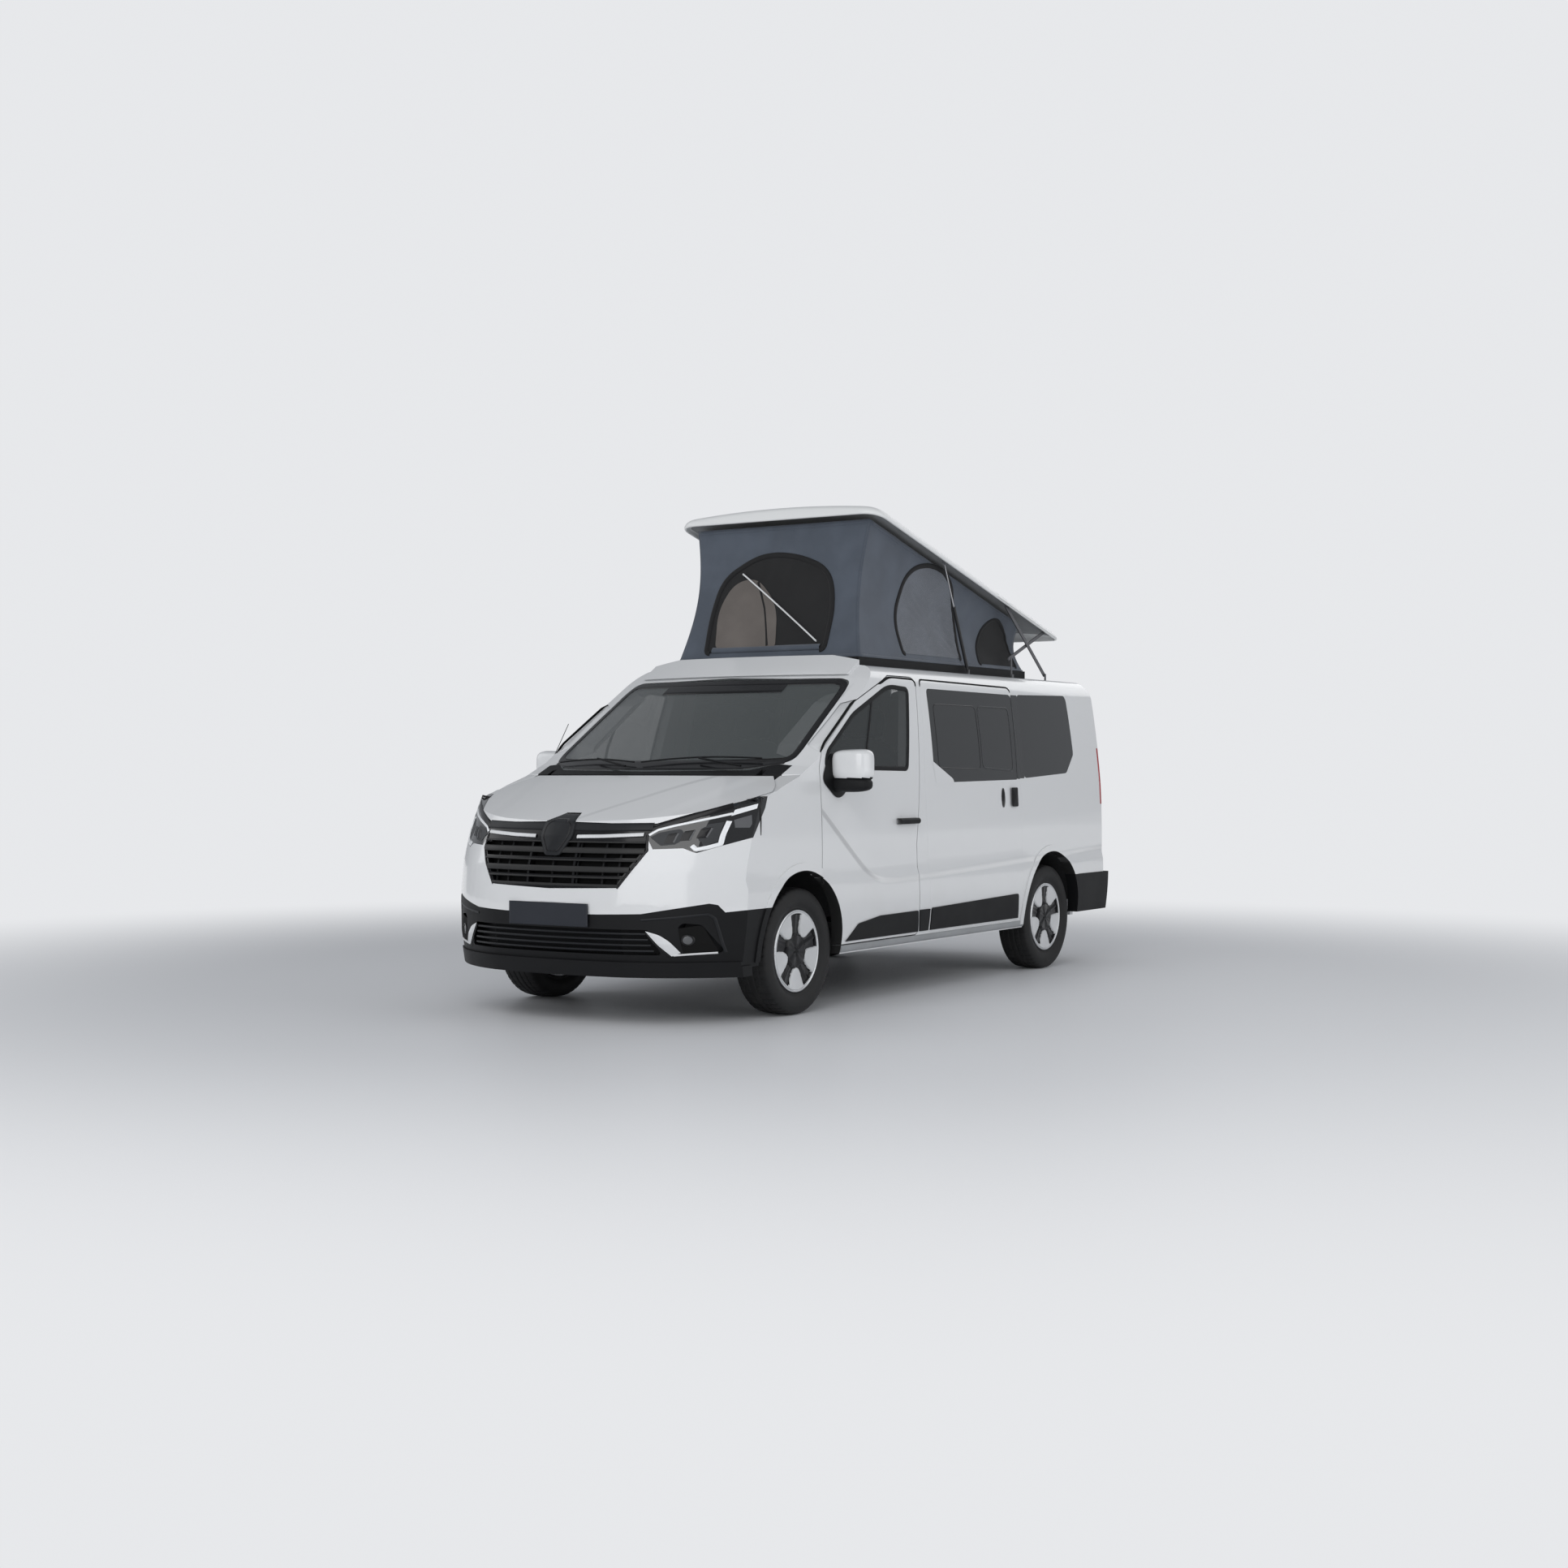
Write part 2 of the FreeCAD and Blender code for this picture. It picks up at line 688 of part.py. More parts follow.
def front_lower(panel):
    """The black lower bumper with its intake, fog recesses and lip."""
    y0 = FRONT_Y - 100.0
    intake = prism_y(centred([(0.0, 372.0), LOWER_GRILLE[1], LOWER_GRILLE[0]]), y0, FRONT_Y + 300.0)
    recess = both(prism_y(FOG_RECESS, y0, FRONT_Y + 700.0))
    deep = inner_nose(26.0)
    panel = panel.cut(Part.makeCompound(recess + [intake]).cut(deep))
    lip = nose(-14.0).cut(inner_nose(60.0)).common(
        section(0.0, 0.0, False).fuse(box(-940, 940, y0, REAR_Y, 200.0, SILL_Z + 10.0))
    )
    lip = lip.common(box(-940, 940, y0, FRONT_ARCH_Y - ARCH_R - 60.0, SILL_Z - 46.0, SILL_Z + 34.0))
    return fuse([biggest(panel), biggest(lip)])


def split_rear(rear):
    """Roof, sides, sliding door, glass and tail from the rest of the shell."""
    y1 = REAR_Y
    screen = screen_zone()
    tail_gap = spread(centred([(0.0, 640.0)] + TAILGATE), GAP, "y", (2262.0, y1))
    tail_cut = prism_y(centred([(0.0, 640.0)] + TAILGATE), 2268.0, y1)
    tailgate = biggest(rear.common(tail_cut))
    tail_gap = tail_gap.fuse(box(-706, 706, 2262.0, y1, 1870.0, 1899.0))
    tail_gap = tail_gap.fuse(box(-722, 722, 2338.0, 2386.0, 1850.0, 1899.0))
    rest = rear.cut([tail_gap, screen])
    rest = rest.cut(both(spread(FRONT_DOOR, GAP, "x", (640.0, 1000.0))))
    rest = rest.cut(
        box(-1000, 1000, REAR_ARCH_Y + 240.0, y1, 200.0, 612.0).cut(box(-720, 720, 2300.0, y1, 0, 700))
    )
    drip = GUTTER_Z + 84.0
    roof_zone = fuse([box(-1000, 1000, -1000, y1, drip, 2200), box(-772, 772, -1000, -560, 1800, 2000)])
    well = prism_z(
        [
            (OPEN_HALF, OPEN_FRONT_Y, 60),
            (OPEN_HALF, OPEN_REAR_Y, 60),
            (-OPEN_HALF, OPEN_REAR_Y, 60),
            (-OPEN_HALF, OPEN_FRONT_Y, 60),
        ],
        1800.0,
        2200.0,
    )
    nodes["roof_panel"] = biggest(rest.common(roof_zone).cut(well))
    rest = rest.cut(roof_zone)
    panel_zone = box(-720, 720, 2250.0, y1, 200.0, 640.0)
    nodes["rear_panel"] = biggest(rest.common(panel_zone))
    rest = rest.cut(panel_zone)
    lamp_zone = both(prism_y(TAIL_LAMP, 2200.0, y1))
    lamp_zone = [z.common(box(-1000, 1000, 2290.0, y1, 900, 1600)) for z in lamp_zone]
    nodes["tail_lamps"] = solids(rest.common(Part.makeCompound(lamp_zone)))
    rest = rest.cut(lamp_zone)
    left = rest.common(box(0, 1100, -2000, y1, 200, 2000))
    right = rest.common(box(-1100, 0, -2000, y1, 200, 2000))
    sliding = left.common(prism_x(SLIDING_DOOR, 640.0, 1000.0))
    left = left.cut(spread(SLIDING_DOOR, 0.5, "x", (640.0, 1000.0)))
    panes = [prism_x(SLIDING_WINDOW, 640.0, 1000.0), prism_x(QUARTER_WINDOW, 640.0, 1000.0)]
    nodes["sliding_door"] = biggest(sliding.cut(panes[0]))
    left = left.cut(panes)
    right = right.cut([mirror(p) for p in panes])
    nodes["body_side_left"] = biggest(left)
    nodes["body_side_right"] = biggest(right)
    glass = section(0.0).cut(section(SKIN))
    panes = panes + [mirror(p) for p in panes]
    nodes["side_glass"] = Part.makeCompound([biggest(glass.common(p)) for p in panes])
    layer = brow().cut(brow(SKIN * 1.9)).common(section(0.0))
    nodes["windscreen"] = biggest(layer.common(screen))
    return tailgate


def make_doors(shell):
    """Front doors, each with its window cut and its glass."""
    zone = prism_x(FRONT_DOOR, 640.0, 1000.0)
    window = prism_x(FRONT_WINDOW, 640.0, 1000.0)
    glass = section(0.0).cut(section(SKIN))
    door = biggest(shell.common(zone).cut(window))
    door = door.cut(cylinder(ARCH_R, (HOUSE_IN_X, FRONT_ARCH_Y, ARCH_Z), (1100, FRONT_ARCH_Y, ARCH_Z)))
    return biggest(door), biggest(glass.common(window))


def door_hinges(door):
    """Pockets and pins in a left door; returns the door and the brackets of its hinge pillar."""
    x = DOOR_HINGE_X
    y = DOOR_HINGE_Y
    brackets = []
    for z in DOOR_HINGE_Z:
        low = z - HINGE_H / 2
        high = z + HINGE_H / 2
        door = door.cut(
            box(820.0, x + BARREL_R + 1.2, DOOR_FRONT_Y - 5, y + BARREL_R + 1.5, low - FIT, high + FIT)
        )
        door = door.fuse(cylinder(PIN_R, (x, y, low - 8.0), (x, y, high + 8.0)))
        barrel = cylinder(BARREL_R, (x, y, low), (x, y, high)).fuse(
            box(836.0, x, y - 4.0, y + 4.0, low, high)
        )
        brackets.append(barrel.cut(cylinder(PIN_R + FIT, (x, y, low - 1), (x, y, high + 1))))
    return door.removeSplitter(), brackets


def make_floor(brackets):
    """Floor, firewall, hinge pillars and the wheel housings, welded into one pan."""
    wall = section(WALL + FIT, 0.0, False)
    plate = box(-900, 900, FIREWALL_Y, FLOOR_END_Y, FLOOR_Z - FLOOR_T, FLOOR_Z).common(wall)
    top = BAY_TOP_Z - 1.4
    firewall = box(-880, 880, FIREWALL_Y - 40.0, FIREWALL_Y, SILL_Z + 20.0, top).common(wall)
    pillar = box(786.0, 844.0, FIREWALL_Y - 40.0, DOOR_HINGE_Y + 6.0, 700.0, top)
    body = fuse([plate, firewall] + both(pillar) + brackets + [mirror(b) for b in brackets])
    for y in PAD_Y:
        body = body.fuse(both(box(PAD_X[0], PAD_X[1], y - PAD_HALF, y + PAD_HALF, SILL_Z, FLOOR_Z - 10.0)))
    swing = both(box(DOOR_SWING_X, 1000.0, DOOR_FRONT_Y - 30.0, DOOR_FRONT_Y + 165.0, 640.0, 820.0))
    houses = []
    hollow = []
    for arch_y, radius, x in (
        (FRONT_ARCH_Y, HOUSE_R, HOUSE_IN_X), (REAR_ARCH_Y, ARCH_R + 4.0, REAR_HOUSE_X)
    ):
        round_up = 1.0 / math.cos(math.pi / HOUSE_SIDES)
        outer = rod(
            (radius + HOUSE_T) * round_up,
            (x - HOUSE_T, arch_y, ARCH_Z),
            (1000, arch_y, ARCH_Z),
            HOUSE_SIDES,
        )
        inner = rod(radius * round_up, (x, arch_y, ARCH_Z), (1000, arch_y, ARCH_Z), HOUSE_SIDES)
        low = 500.0 if x == HOUSE_IN_X else FLOOR_Z - FLOOR_T
        shelf = outer.cut(inner).common(box(0, 1000, -3000, 3000, low, 1000)).common(wall)
        houses += both(shelf.common(nose(FRONT_WALL + FIT)))
        hollow += both(inner)
    return biggest(body.cut(hollow).fuse(houses).cut(hollow + swing).removeSplitter())


def tyre(centre_x, y):
    """A tyre's ring, with its sidewalls and shoulders, in flat facets."""
    w = TYRE_W / 2
    half = [(w - 20.0, RIM_R + 1.2), (w, RIM_R + 52.0), (w - 5.0, TYRE_R - 22.0), (w - 27.0, TYRE_R)]
    profile = [(centre_x + u, v) for u, v in half] + [(centre_x - u, v) for u, v in reversed(half)]
    turn = 2 * math.pi / WHEEL_SIDES
    rings = []
    for x, radius in profile + profile[:1]:
        points = [
            V(x, y + radius * math.cos(turn * i), TYRE_R + radius * math.sin(turn * i))
            for i in range(WHEEL_SIDES)
        ]
        rings.append(points)
    faces = []
    for near, far in zip(rings, rings[1:]):
        for i in range(WHEEL_SIDES):
            j = (i + 1) % WHEEL_SIDES
            corners = [near[i], near[j], far[j], far[i], near[i]]
            faces.append(Part.Face(Part.makePolygon(corners)))
    return Part.makeSolid(Part.makeShell(faces))


def rim(centre_x, y):
    """A left wheel's rim with five spokes, its hub and brake disc."""
    w = TYRE_W / 2 - 16.0
    face = centre_x + 78.0
    z = TYRE_R
    barrel = rod(RIM_R, (centre_x - w, y, z), (centre_x + w, y, z), WHEEL_SIDES)
    barrel = barrel.cut(rod(RIM_R - 16.0, (centre_x - w, y, z), (centre_x + w, y, z), WHEEL_SIDES))
    hub = rod(62.0, (centre_x + 30.0, y, z), (face - 8.0, y, z), 20)
    disc = rod(158.0, (centre_x + 22.0, y, z), (centre_x + 46.0, y, z), 32)
    parts = [barrel, hub, disc]
    for i in range(5):
        wire = outline(
            [(-30.0, 40.0), (30.0, 40.0), (46.0, RIM_R - 8.0), (-46.0, RIM_R - 8.0)],
            lambda u,
            v: (face - 30.0, y + u, z + v),
        )
        spoke = Part.Face(wire).extrude(V(34.0, 0, 0))
        spoke.rotate(V(0, y, z), V(1, 0, 0), 72.0 * i)
        parts.append(spoke)
    return fuse(parts).cut(cylinder(HUB_R, (centre_x - w, y, z), (centre_x + w, y, z)))


def make_wheels():
    spots = {"front": (FRONT_HALF_TRACK, FRONT_AXLE_Y), "rear": (REAR_HALF_TRACK, REAR_AXLE_Y)}
    for end, (x, y) in spots.items():
        ring = tyre(x, y)
        wheel = rim(x, y)
        nodes["tyre_%s_left" % end] = ring
        nodes["tyre_%s_right" % end] = mirror(ring)
        nodes["rim_%s_left" % end] = wheel
        nodes["rim_%s_right" % end] = mirror(wheel)


def make_front_axle():
    """Subframe with lower arms and struts, and the steered knuckles on their pins."""
    x = KINGPIN_X
    y = FRONT_AXLE_Y
    beam = box(-420, 420, y - 70.0, y + 90.0, 214.0, 296.0)
    rack = rod(24.0, (-430, y + 118.0, 290.0), (430, y + 118.0, 290.0))
    link = box(-60, 60, y + 60.0, y + 130.0, 270.0, 300.0)
    parts = [beam, rack, link]
    for sign in (-1, 1):
        arm = [
            (sign * 400.0, y - 60.0),
            (sign * (x + 4.0), y - 24.0),
            (sign * (x + 24.0), y),
            (sign * (x + 4.0), y + 24.0),
            (sign * 400.0, y + 80.0),
        ]
        parts.append(prism_z(arm, 200.0, 222.0))
        parts.append(cylinder(12.0, (sign * x, y, 210.0), (sign * x, y, 262.0)))
        parts.append(
            box(min(sign * 300, sign * 420), max(sign * 300, sign * 420), y - 60.0, y + 80.0, 200.0, 230.0)
        )
    nodes["front_subframe"] = fuse(parts)
    strut = fuse([
        cylinder(12.0, (x, y, 482.0), (x, y, 530.0)),
        rod(25.0, (x, y, 522.0), (x, y, 720.0)),
        rod(58.0, (x, y, 700.0), (x, y, 818.0)),
        rod(20.0, (x, y, 800.0), (x, y, 824.4)),
    ])
    nodes["front_struts"] = Part.makeCompound(both(strut))
    post = rod(25.0, (x, y, 224.0), (x, y, 520.0))
    bores = [
        cylinder(12.0 + FIT, (x, y, 200.0), (x, y, 264.0)),
        cylinder(12.0 + FIT, (x, y, 480.0), (x, y, 540.0)),
    ]
    stub = cylinder(HUB_R - FIT, (x, y, TYRE_R), (FRONT_HALF_TRACK + 66.0, y, TYRE_R))
    carrier = box(x - 22.0, x + 22.0, y - 60.0, y + 60.0, TYRE_R - 50.0, TYRE_R + 50.0)
    steering = box(x - 60.0, x - 20.0, y + 20.0, y + 150.0, TYRE_R - 30.0, TYRE_R - 12.0)
    caliper = box(x + 150.0, x + 182.0, y + 100.0, y + 158.0, TYRE_R - 40.0, TYRE_R + 60.0)
    arm = box(x + 15.0, x + 158.0, y + 58.0, y + 108.0, TYRE_R - 12.0, TYRE_R + 28.0)
    disc_room = rod(160.0, (FRONT_HALF_TRACK + 19.0, y, TYRE_R), (FRONT_HALF_TRACK + 49.0, y, TYRE_R), 24)
    knuckle = fuse([post, stub, carrier, steering, caliper, arm]).cut(bores + [disc_room])
    knuckle = biggest(knuckle.fuse(stub).cut(bores))
    nodes["knuckle_left"] = knuckle
    nodes["knuckle_right"] = mirror(knuckle)


def make_rear_axle():
    """Trailing arms joined by a beam, with springs under the floor and a stub for each wheel."""
    y = REAR_AXLE_Y
    z = TYRE_R
    beam = rod(34.0, (-640, y - 190.0, z + 52.0), (640, y - 190.0, z + 52.0))
    parts = [beam]
    for sign in (-1, 1):
        arm = [
            (y - 530.0, z + 30.0),
            (y - 530.0, z - 36.0),
            (y + 20.0, z - 52.0),
            (y + 54.0, z - 20.0),
            (y + 54.0, z + 22.0),
            (y + 20.0, z + 52.0),
        ]
        arm = prism_x(arm, sign * 560.0, sign * 640.0)
        parts.append(arm)
        parts.append(cylinder(HUB_R - FIT, (sign * 600.0, y, z), (sign * (REAR_HALF_TRACK + 66.0), y, z)))
        parts.append(
            rod(55.0, (sign * 600.0, y - 120.0, z), (sign * 600.0, y - 120.0, FLOOR_Z - FLOOR_T - FIT))
        )
        parts.append(
            rod(30.0, (sign * 600.0, y - 500.0, z), (sign * 600.0, y - 500.0, FLOOR_Z - FLOOR_T - FIT))
        )
    nodes["rear_axle"] = fuse(parts)


def make_underbody():
    """Fuel tank, exhaust and sill-mounted step seen from below, and the engine in its bay."""
    under = FLOOR_Z - FLOOR_T - FIT
    tank = box(120, 620, -520.0, 380.0, 250.0, under)
    pipe = [(-250.0, -1080.0), (-250.0, 310.0), (-380.0, 610.0), (-380.0, 1820.0)]
    runs = []
    for a, b in zip(pipe, pipe[1:]):
        b = (b[0], b[1] + 10.0)
        runs.append(rod(27.0, a + (300.0,), b + (300.0,)))
    silencer = box(-640, -230, 1790.0, 2240.0, 260.0, 380.0)
    hanger = box(-450, -410, 2000.0, 2040.0, 370.0, under)
    mount = box(-270, -230, -200.0, -160.0, 330.0, under)
    nodes["exhaust"] = fuse(runs + [silencer, hanger, mount])
    nodes["fuel_tank"] = tank
    nodes["engine"] = box(-360, 360, FRONT_Y + 250.0, FRONT_AXLE_Y - 90.0, 300.0, 960.0)
    foot = box(-300, 300, FRONT_AXLE_Y - 92.0, FRONT_AXLE_Y - 70.0 - FIT, 240.0, 320.0)
    nodes["engine"] = fuse([nodes["engine"], foot])


def make_rear_bumper():
    """Wrap-round rear bumper in front of the tail's skin."""
    y = REAR_Y
    z0 = 352.0
    z1 = 611.0
    sweep = 5160.0
    body = box(-1000, 1000, REAR_ARCH_Y + 243.0, REAR_Y + 10.0, z0, z1).common(section(-6.0, 0.0, False))
    body = body.common(cylinder(sweep, (0, y - sweep, z0 - 10.0), (0, y - sweep, z1 + 10.0)))
    body = body.cut(section(WALL, 0.0, False).common(tail(0.0)))
    arches = both(cylinder(ARCH_R, (HOUSE_IN_X, REAR_ARCH_Y, ARCH_Z), (1100, REAR_ARCH_Y, ARCH_Z)))
    hollow = box(-820, 820, TAIL_Y + 6.0, y, z0 - 10.0, z1 - 30.0)
    hollow = hollow.common(cylinder(sweep, (0, y - 40.0 - sweep, z0 - 20.0), (0, y - 40.0 - sweep, z1)))
    nodes["rear_bumper"] = biggest(body.cut(arches + [hollow]))


def make_roof_fairing():
    """Raised lip on the roof above the windscreen."""
    lip = brow(-30.0).common(box(-728, 728, -1000.0, SHELL_FRONT_Y - 20.0, 1868.0, 1990.0))
    lip = lip.cut(brow().common(section(0.0)))
    nodes["roof_fairing"] = biggest(lip)


def turned(shape, y, z, angle):
    """A shape turned about the X axis through a point of the side view."""
    shape = shape.copy()
    shape.rotate(V(0, y, z), V(1, 0, 0), angle)
    return shape


def polar(y, z, length, angle):
    """A point at a distance and an angle from the rearward direction in the side view."""
    a = math.radians(angle)
    return y + length * math.cos(a), z + length * math.sin(a)


def bar(x, start, end, width, thick):
    """A flat bar with round ends in the side view."""
    a = V(0, start[0], start[1])
    b = V(0, end[0], end[1])
    run = (b - a).normalize() * (width / 2)
    side = V(0, -run.z, run.y)
    p = [a + side, a - run, a - side, b - side, b + run, b + side]
    edges = [
        Part.Arc(p[0], p[1], p[2]).toShape(),
        Part.makeLine(p[2], p[3]),
        Part.Arc(p[3], p[4], p[5]).toShape(),
    ]
    edges.append(Part.makeLine(p[5], p[0]))
    body = Part.Face(Part.Wire(edges)).extrude(V(thick, 0, 0))
    body.translate(V(x, 0, 0))
    return body


def make_pop_top():
    """The raised roof shell, its arms, links, posts and gas struts, and the canvas below it."""
    root = (ARM_ROOT_Y, ARM_ROOT_Z)
    top = polar(root[0], root[1], -ARM_LEN, -ARM_ANGLE)
    closed_top = (ARM_ROOT_Y - ARM_LEN, ARM_ROOT_Z)
    plan = [
        (SHELL_HALF - 20.0, SHELL_FRONT_Y, 110),
        (SHELL_HALF, SHELL_REAR_Y, SHELL_CORNER),
        (-SHELL_HALF, SHELL_REAR_Y, SHELL_CORNER),
        (-SHELL_HALF + 20.0, SHELL_FRONT_Y, 110),
    ]
    inner = [
        (SHELL_HALF - SHELL_T - 20.0, SHELL_FRONT_Y + SHELL_T, 92),
        (SHELL_HALF - SHELL_T, SHELL_REAR_Y - SHELL_T, SHELL_CORNER - SHELL_T),
        (-SHELL_HALF + SHELL_T, SHELL_REAR_Y - SHELL_T, SHELL_CORNER - SHELL_T),
        (-SHELL_HALF + SHELL_T + 20.0, SHELL_FRONT_Y + SHELL_T, 92),
    ]
    outer = prism_z(plan, SHELL_Z, SHELL_Z + 200.0)
    hollow = prism_z(inner, SHELL_Z - 10.0, SHELL_Z + 200.0)
    h = SHELL_HALF + 10.0

    def crown(z_edge, z_mid):
        edges = [
            arc((-h, -800, z_edge), (0, -800, z_mid), (h, -800, z_edge)),
            line((h, -800, z_edge), (h, -800, 1800)),
        ]
        edges += [line((h, -800, 1800), (-h, -800, 1800)), line((-h, -800, 1800), (-h, -800, z_edge))]
        return Part.Face(Part.Wire(edges)).extrude(V(0, 3000, 0))

    shell_top = outer.common(crown(SHELL_Z + SHELL_RIM, SHELL_Z + SHELL_TOP))
    cap = hollow.common(crown(SHELL_Z + SHELL_RIM - SHELL_T, SHELL_Z + SHELL_TOP - SHELL_T))
    shell_top = shell_top.cut([cap, section(0.0, -8.0, False)])
    boss = cylinder(
        8.0,
        (ARM_X + ARM_T + 1.0, closed_top[0], closed_top[1]),
        (SHELL_HALF - 10.0, closed_top[0], closed_top[1]),
    )
    pin = cylinder(
        4.0, (ARM_X - 3.0, closed_top[0], closed_top[1]), (SHELL_HALF - 10.0, closed_top[0], closed_top[1])
    )
    shell_top = fuse([shell_top] + both(boss) + both(pin))
    moved = turned(shell_top, closed_top[0], closed_top[1], -ROOF_ANGLE)
    moved.translate(V(0, top[0] - closed_top[0], top[1] - closed_top[1]))
    nodes["roof_shell"] = moved

    eye = cylinder(4.0 + FIT, (ARM_X - 20, top[0], top[1]), (ARM_X + 20, top[0], top[1]))
    foot = cylinder(5.0 + FIT, (ARM_X - 20, root[0], root[1]), (ARM_X + 20, root[0], root[1]))
    middle = polar(root[0], root[1], -LINK_AT, -ARM_ANGLE)
    stud = cylinder(5.0, (ARM_X - ARM_T - 2.0, middle[0], middle[1]), (ARM_X + 1.0, middle[0], middle[1]))
    arm = bar(ARM_X, root, top, ARM_W, ARM_T).cut([eye, foot]).fuse(stud)
    nodes["scissor_arms"] = Part.makeCompound(both(arm))

    x = ARM_X - ARM_T - 1.0
    rear = polar(middle[0], middle[1], LINK_REAR, LINK_ANGLE)
    fore = polar(middle[0], middle[1], -LINK_FRONT, LINK_ANGLE)
    hole = cylinder(5.0 + FIT, (x - 10, middle[0], middle[1]), (x + 10, middle[0], middle[1]))
    link = bar(x, rear, fore, ARM_W - 4.0, ARM_T - FIT).cut(hole)
    nodes["scissor_links"] = Part.makeCompound(both(link))

    x = ARM_X + ARM_T + 6.0
    base = (POST_Y, POST_Z)
    tip = polar(base[0], base[1], POST_LEN, POST_ANGLE)
    post = bar(x, base, tip, 18.0, 5.0).cut(
        cylinder(3.0 + FIT, (x - 10, base[0], base[1]), (x + 10, base[0], base[1]))
    )
    nodes["scissor_posts"] = Part.makeCompound(both(post))

    foot = (STRUT_Y, STRUT_Z)
    end = polar(foot[0], foot[1], BARREL_LEN, STRUT_ANGLE)
    inside = polar(foot[0], foot[1], 50.0, STRUT_ANGLE)
    eye_at = polar(foot[0], foot[1], ROD_LEN, STRUT_ANGLE)
    x = STRUT_X
    start = polar(foot[0], foot[1], 26.0, STRUT_ANGLE)
    barrel = cylinder(11.0, (x, start[0], start[1]), (x, end[0], end[1]))
    lug = bar(x - 4.0, foot, polar(foot[0], foot[1], 34.0, STRUT_ANGLE), 16.0, 8.0)
    bore = cylinder(
        5.2,
        (x, inside[0], inside[1]),
        (x, end[0] + 0.1 * (end[0] - inside[0]), end[1] + 0.1 * (end[1] - inside[1])),
    )
    barrel = fuse([barrel, lug]).cut(
        [bore, cylinder(4.0 + FIT, (x - 9, foot[0], foot[1]), (x + 9, foot[0], foot[1]))]
    )
    nodes["strut_barrels"] = Part.makeCompound(both(biggest(barrel)))
    rod_start = polar(foot[0], foot[1], BARREL_LEN - 60.0, STRUT_ANGLE)
    rod = cylinder(4.6, (x, rod_start[0], rod_start[1]), (x, eye_at[0], eye_at[1]))
    eye_end = polar(foot[0], foot[1], ROD_LEN + 8.0, STRUT_ANGLE)
    rod = fuse([rod, bar(x - 4.0, eye_at, eye_end, 16.0, 8.0)])
    nodes["strut_rods"] = Part.makeCompound(both(rod))

    roof = section(0.0)
    brackets = []
    for px, gap, py, pz, half, rise, radius in (
        (ARM_X, 9.0, root[0], root[1], 8.0, 7.0, 5.0),
        (ARM_X + ARM_T + 6.0, 6.5, base[0], base[1], 14.0, 3.0, 3.0),
        (STRUT_X - 4.0, 9.0, foot[0], foot[1], 7.0, 7.0, 4.0),
    ):
        cheek = biggest(box(px + gap, px + gap + 7.0, py - half, py + half, 1880.0, pz + rise).cut(roof))
        brackets.append(fuse([cheek, cylinder(radius, (px - 2.0, py, pz), (px + gap + 1.0, py, pz))]))
    nodes["roof_brackets"] = Part.makeCompound(brackets + [mirror(b) for b in brackets])

    rail = box(-RAIL_OUT, RAIL_OUT, OPEN_FRONT_Y - 46.0, OPEN_REAR_Y + 46.0, 1880.0, RAIL_Z)
    rail = rail.cut([box(-OPEN_HALF, OPEN_HALF, OPEN_FRONT_Y, OPEN_REAR_Y, 1800.0, 2100.0), roof])
    nodes["canvas_rail"] = biggest(rail)

    slope = math.tan(math.radians(ROOF_ANGLE))
    front_y = OPEN_FRONT_Y - 20.0
    rear_y = OPEN_REAR_Y + 10.0

    def ceiling(y, drop):
        return top[1] - (y - top[0]) * slope - drop

    def wedge(inset, base_z, drop):
        y0 = front_y + inset
        y1 = rear_y - inset
        top_z = (top[1] - (y0 - CANVAS_LEAN * RAIL_Z - top[0]) * slope - drop) / (1.0 + CANVAS_LEAN * slope)
        points = [(y0 + CANVAS_LEAN * (base_z - RAIL_Z), base_z), (y1, base_z), (y1, ceiling(y1, drop))]
        points.append((y0 + CANVAS_LEAN * (top_z - RAIL_Z), top_z))
        return prism_x(points, -CANVAS_HALF + inset, CANVAS_HALF - inset)

    nodes["canvas"] = wedge(0.0, RAIL_Z + 0.4, 4.0).cut(wedge(CANVAS_T, RAIL_Z - 20.0, -60.0))


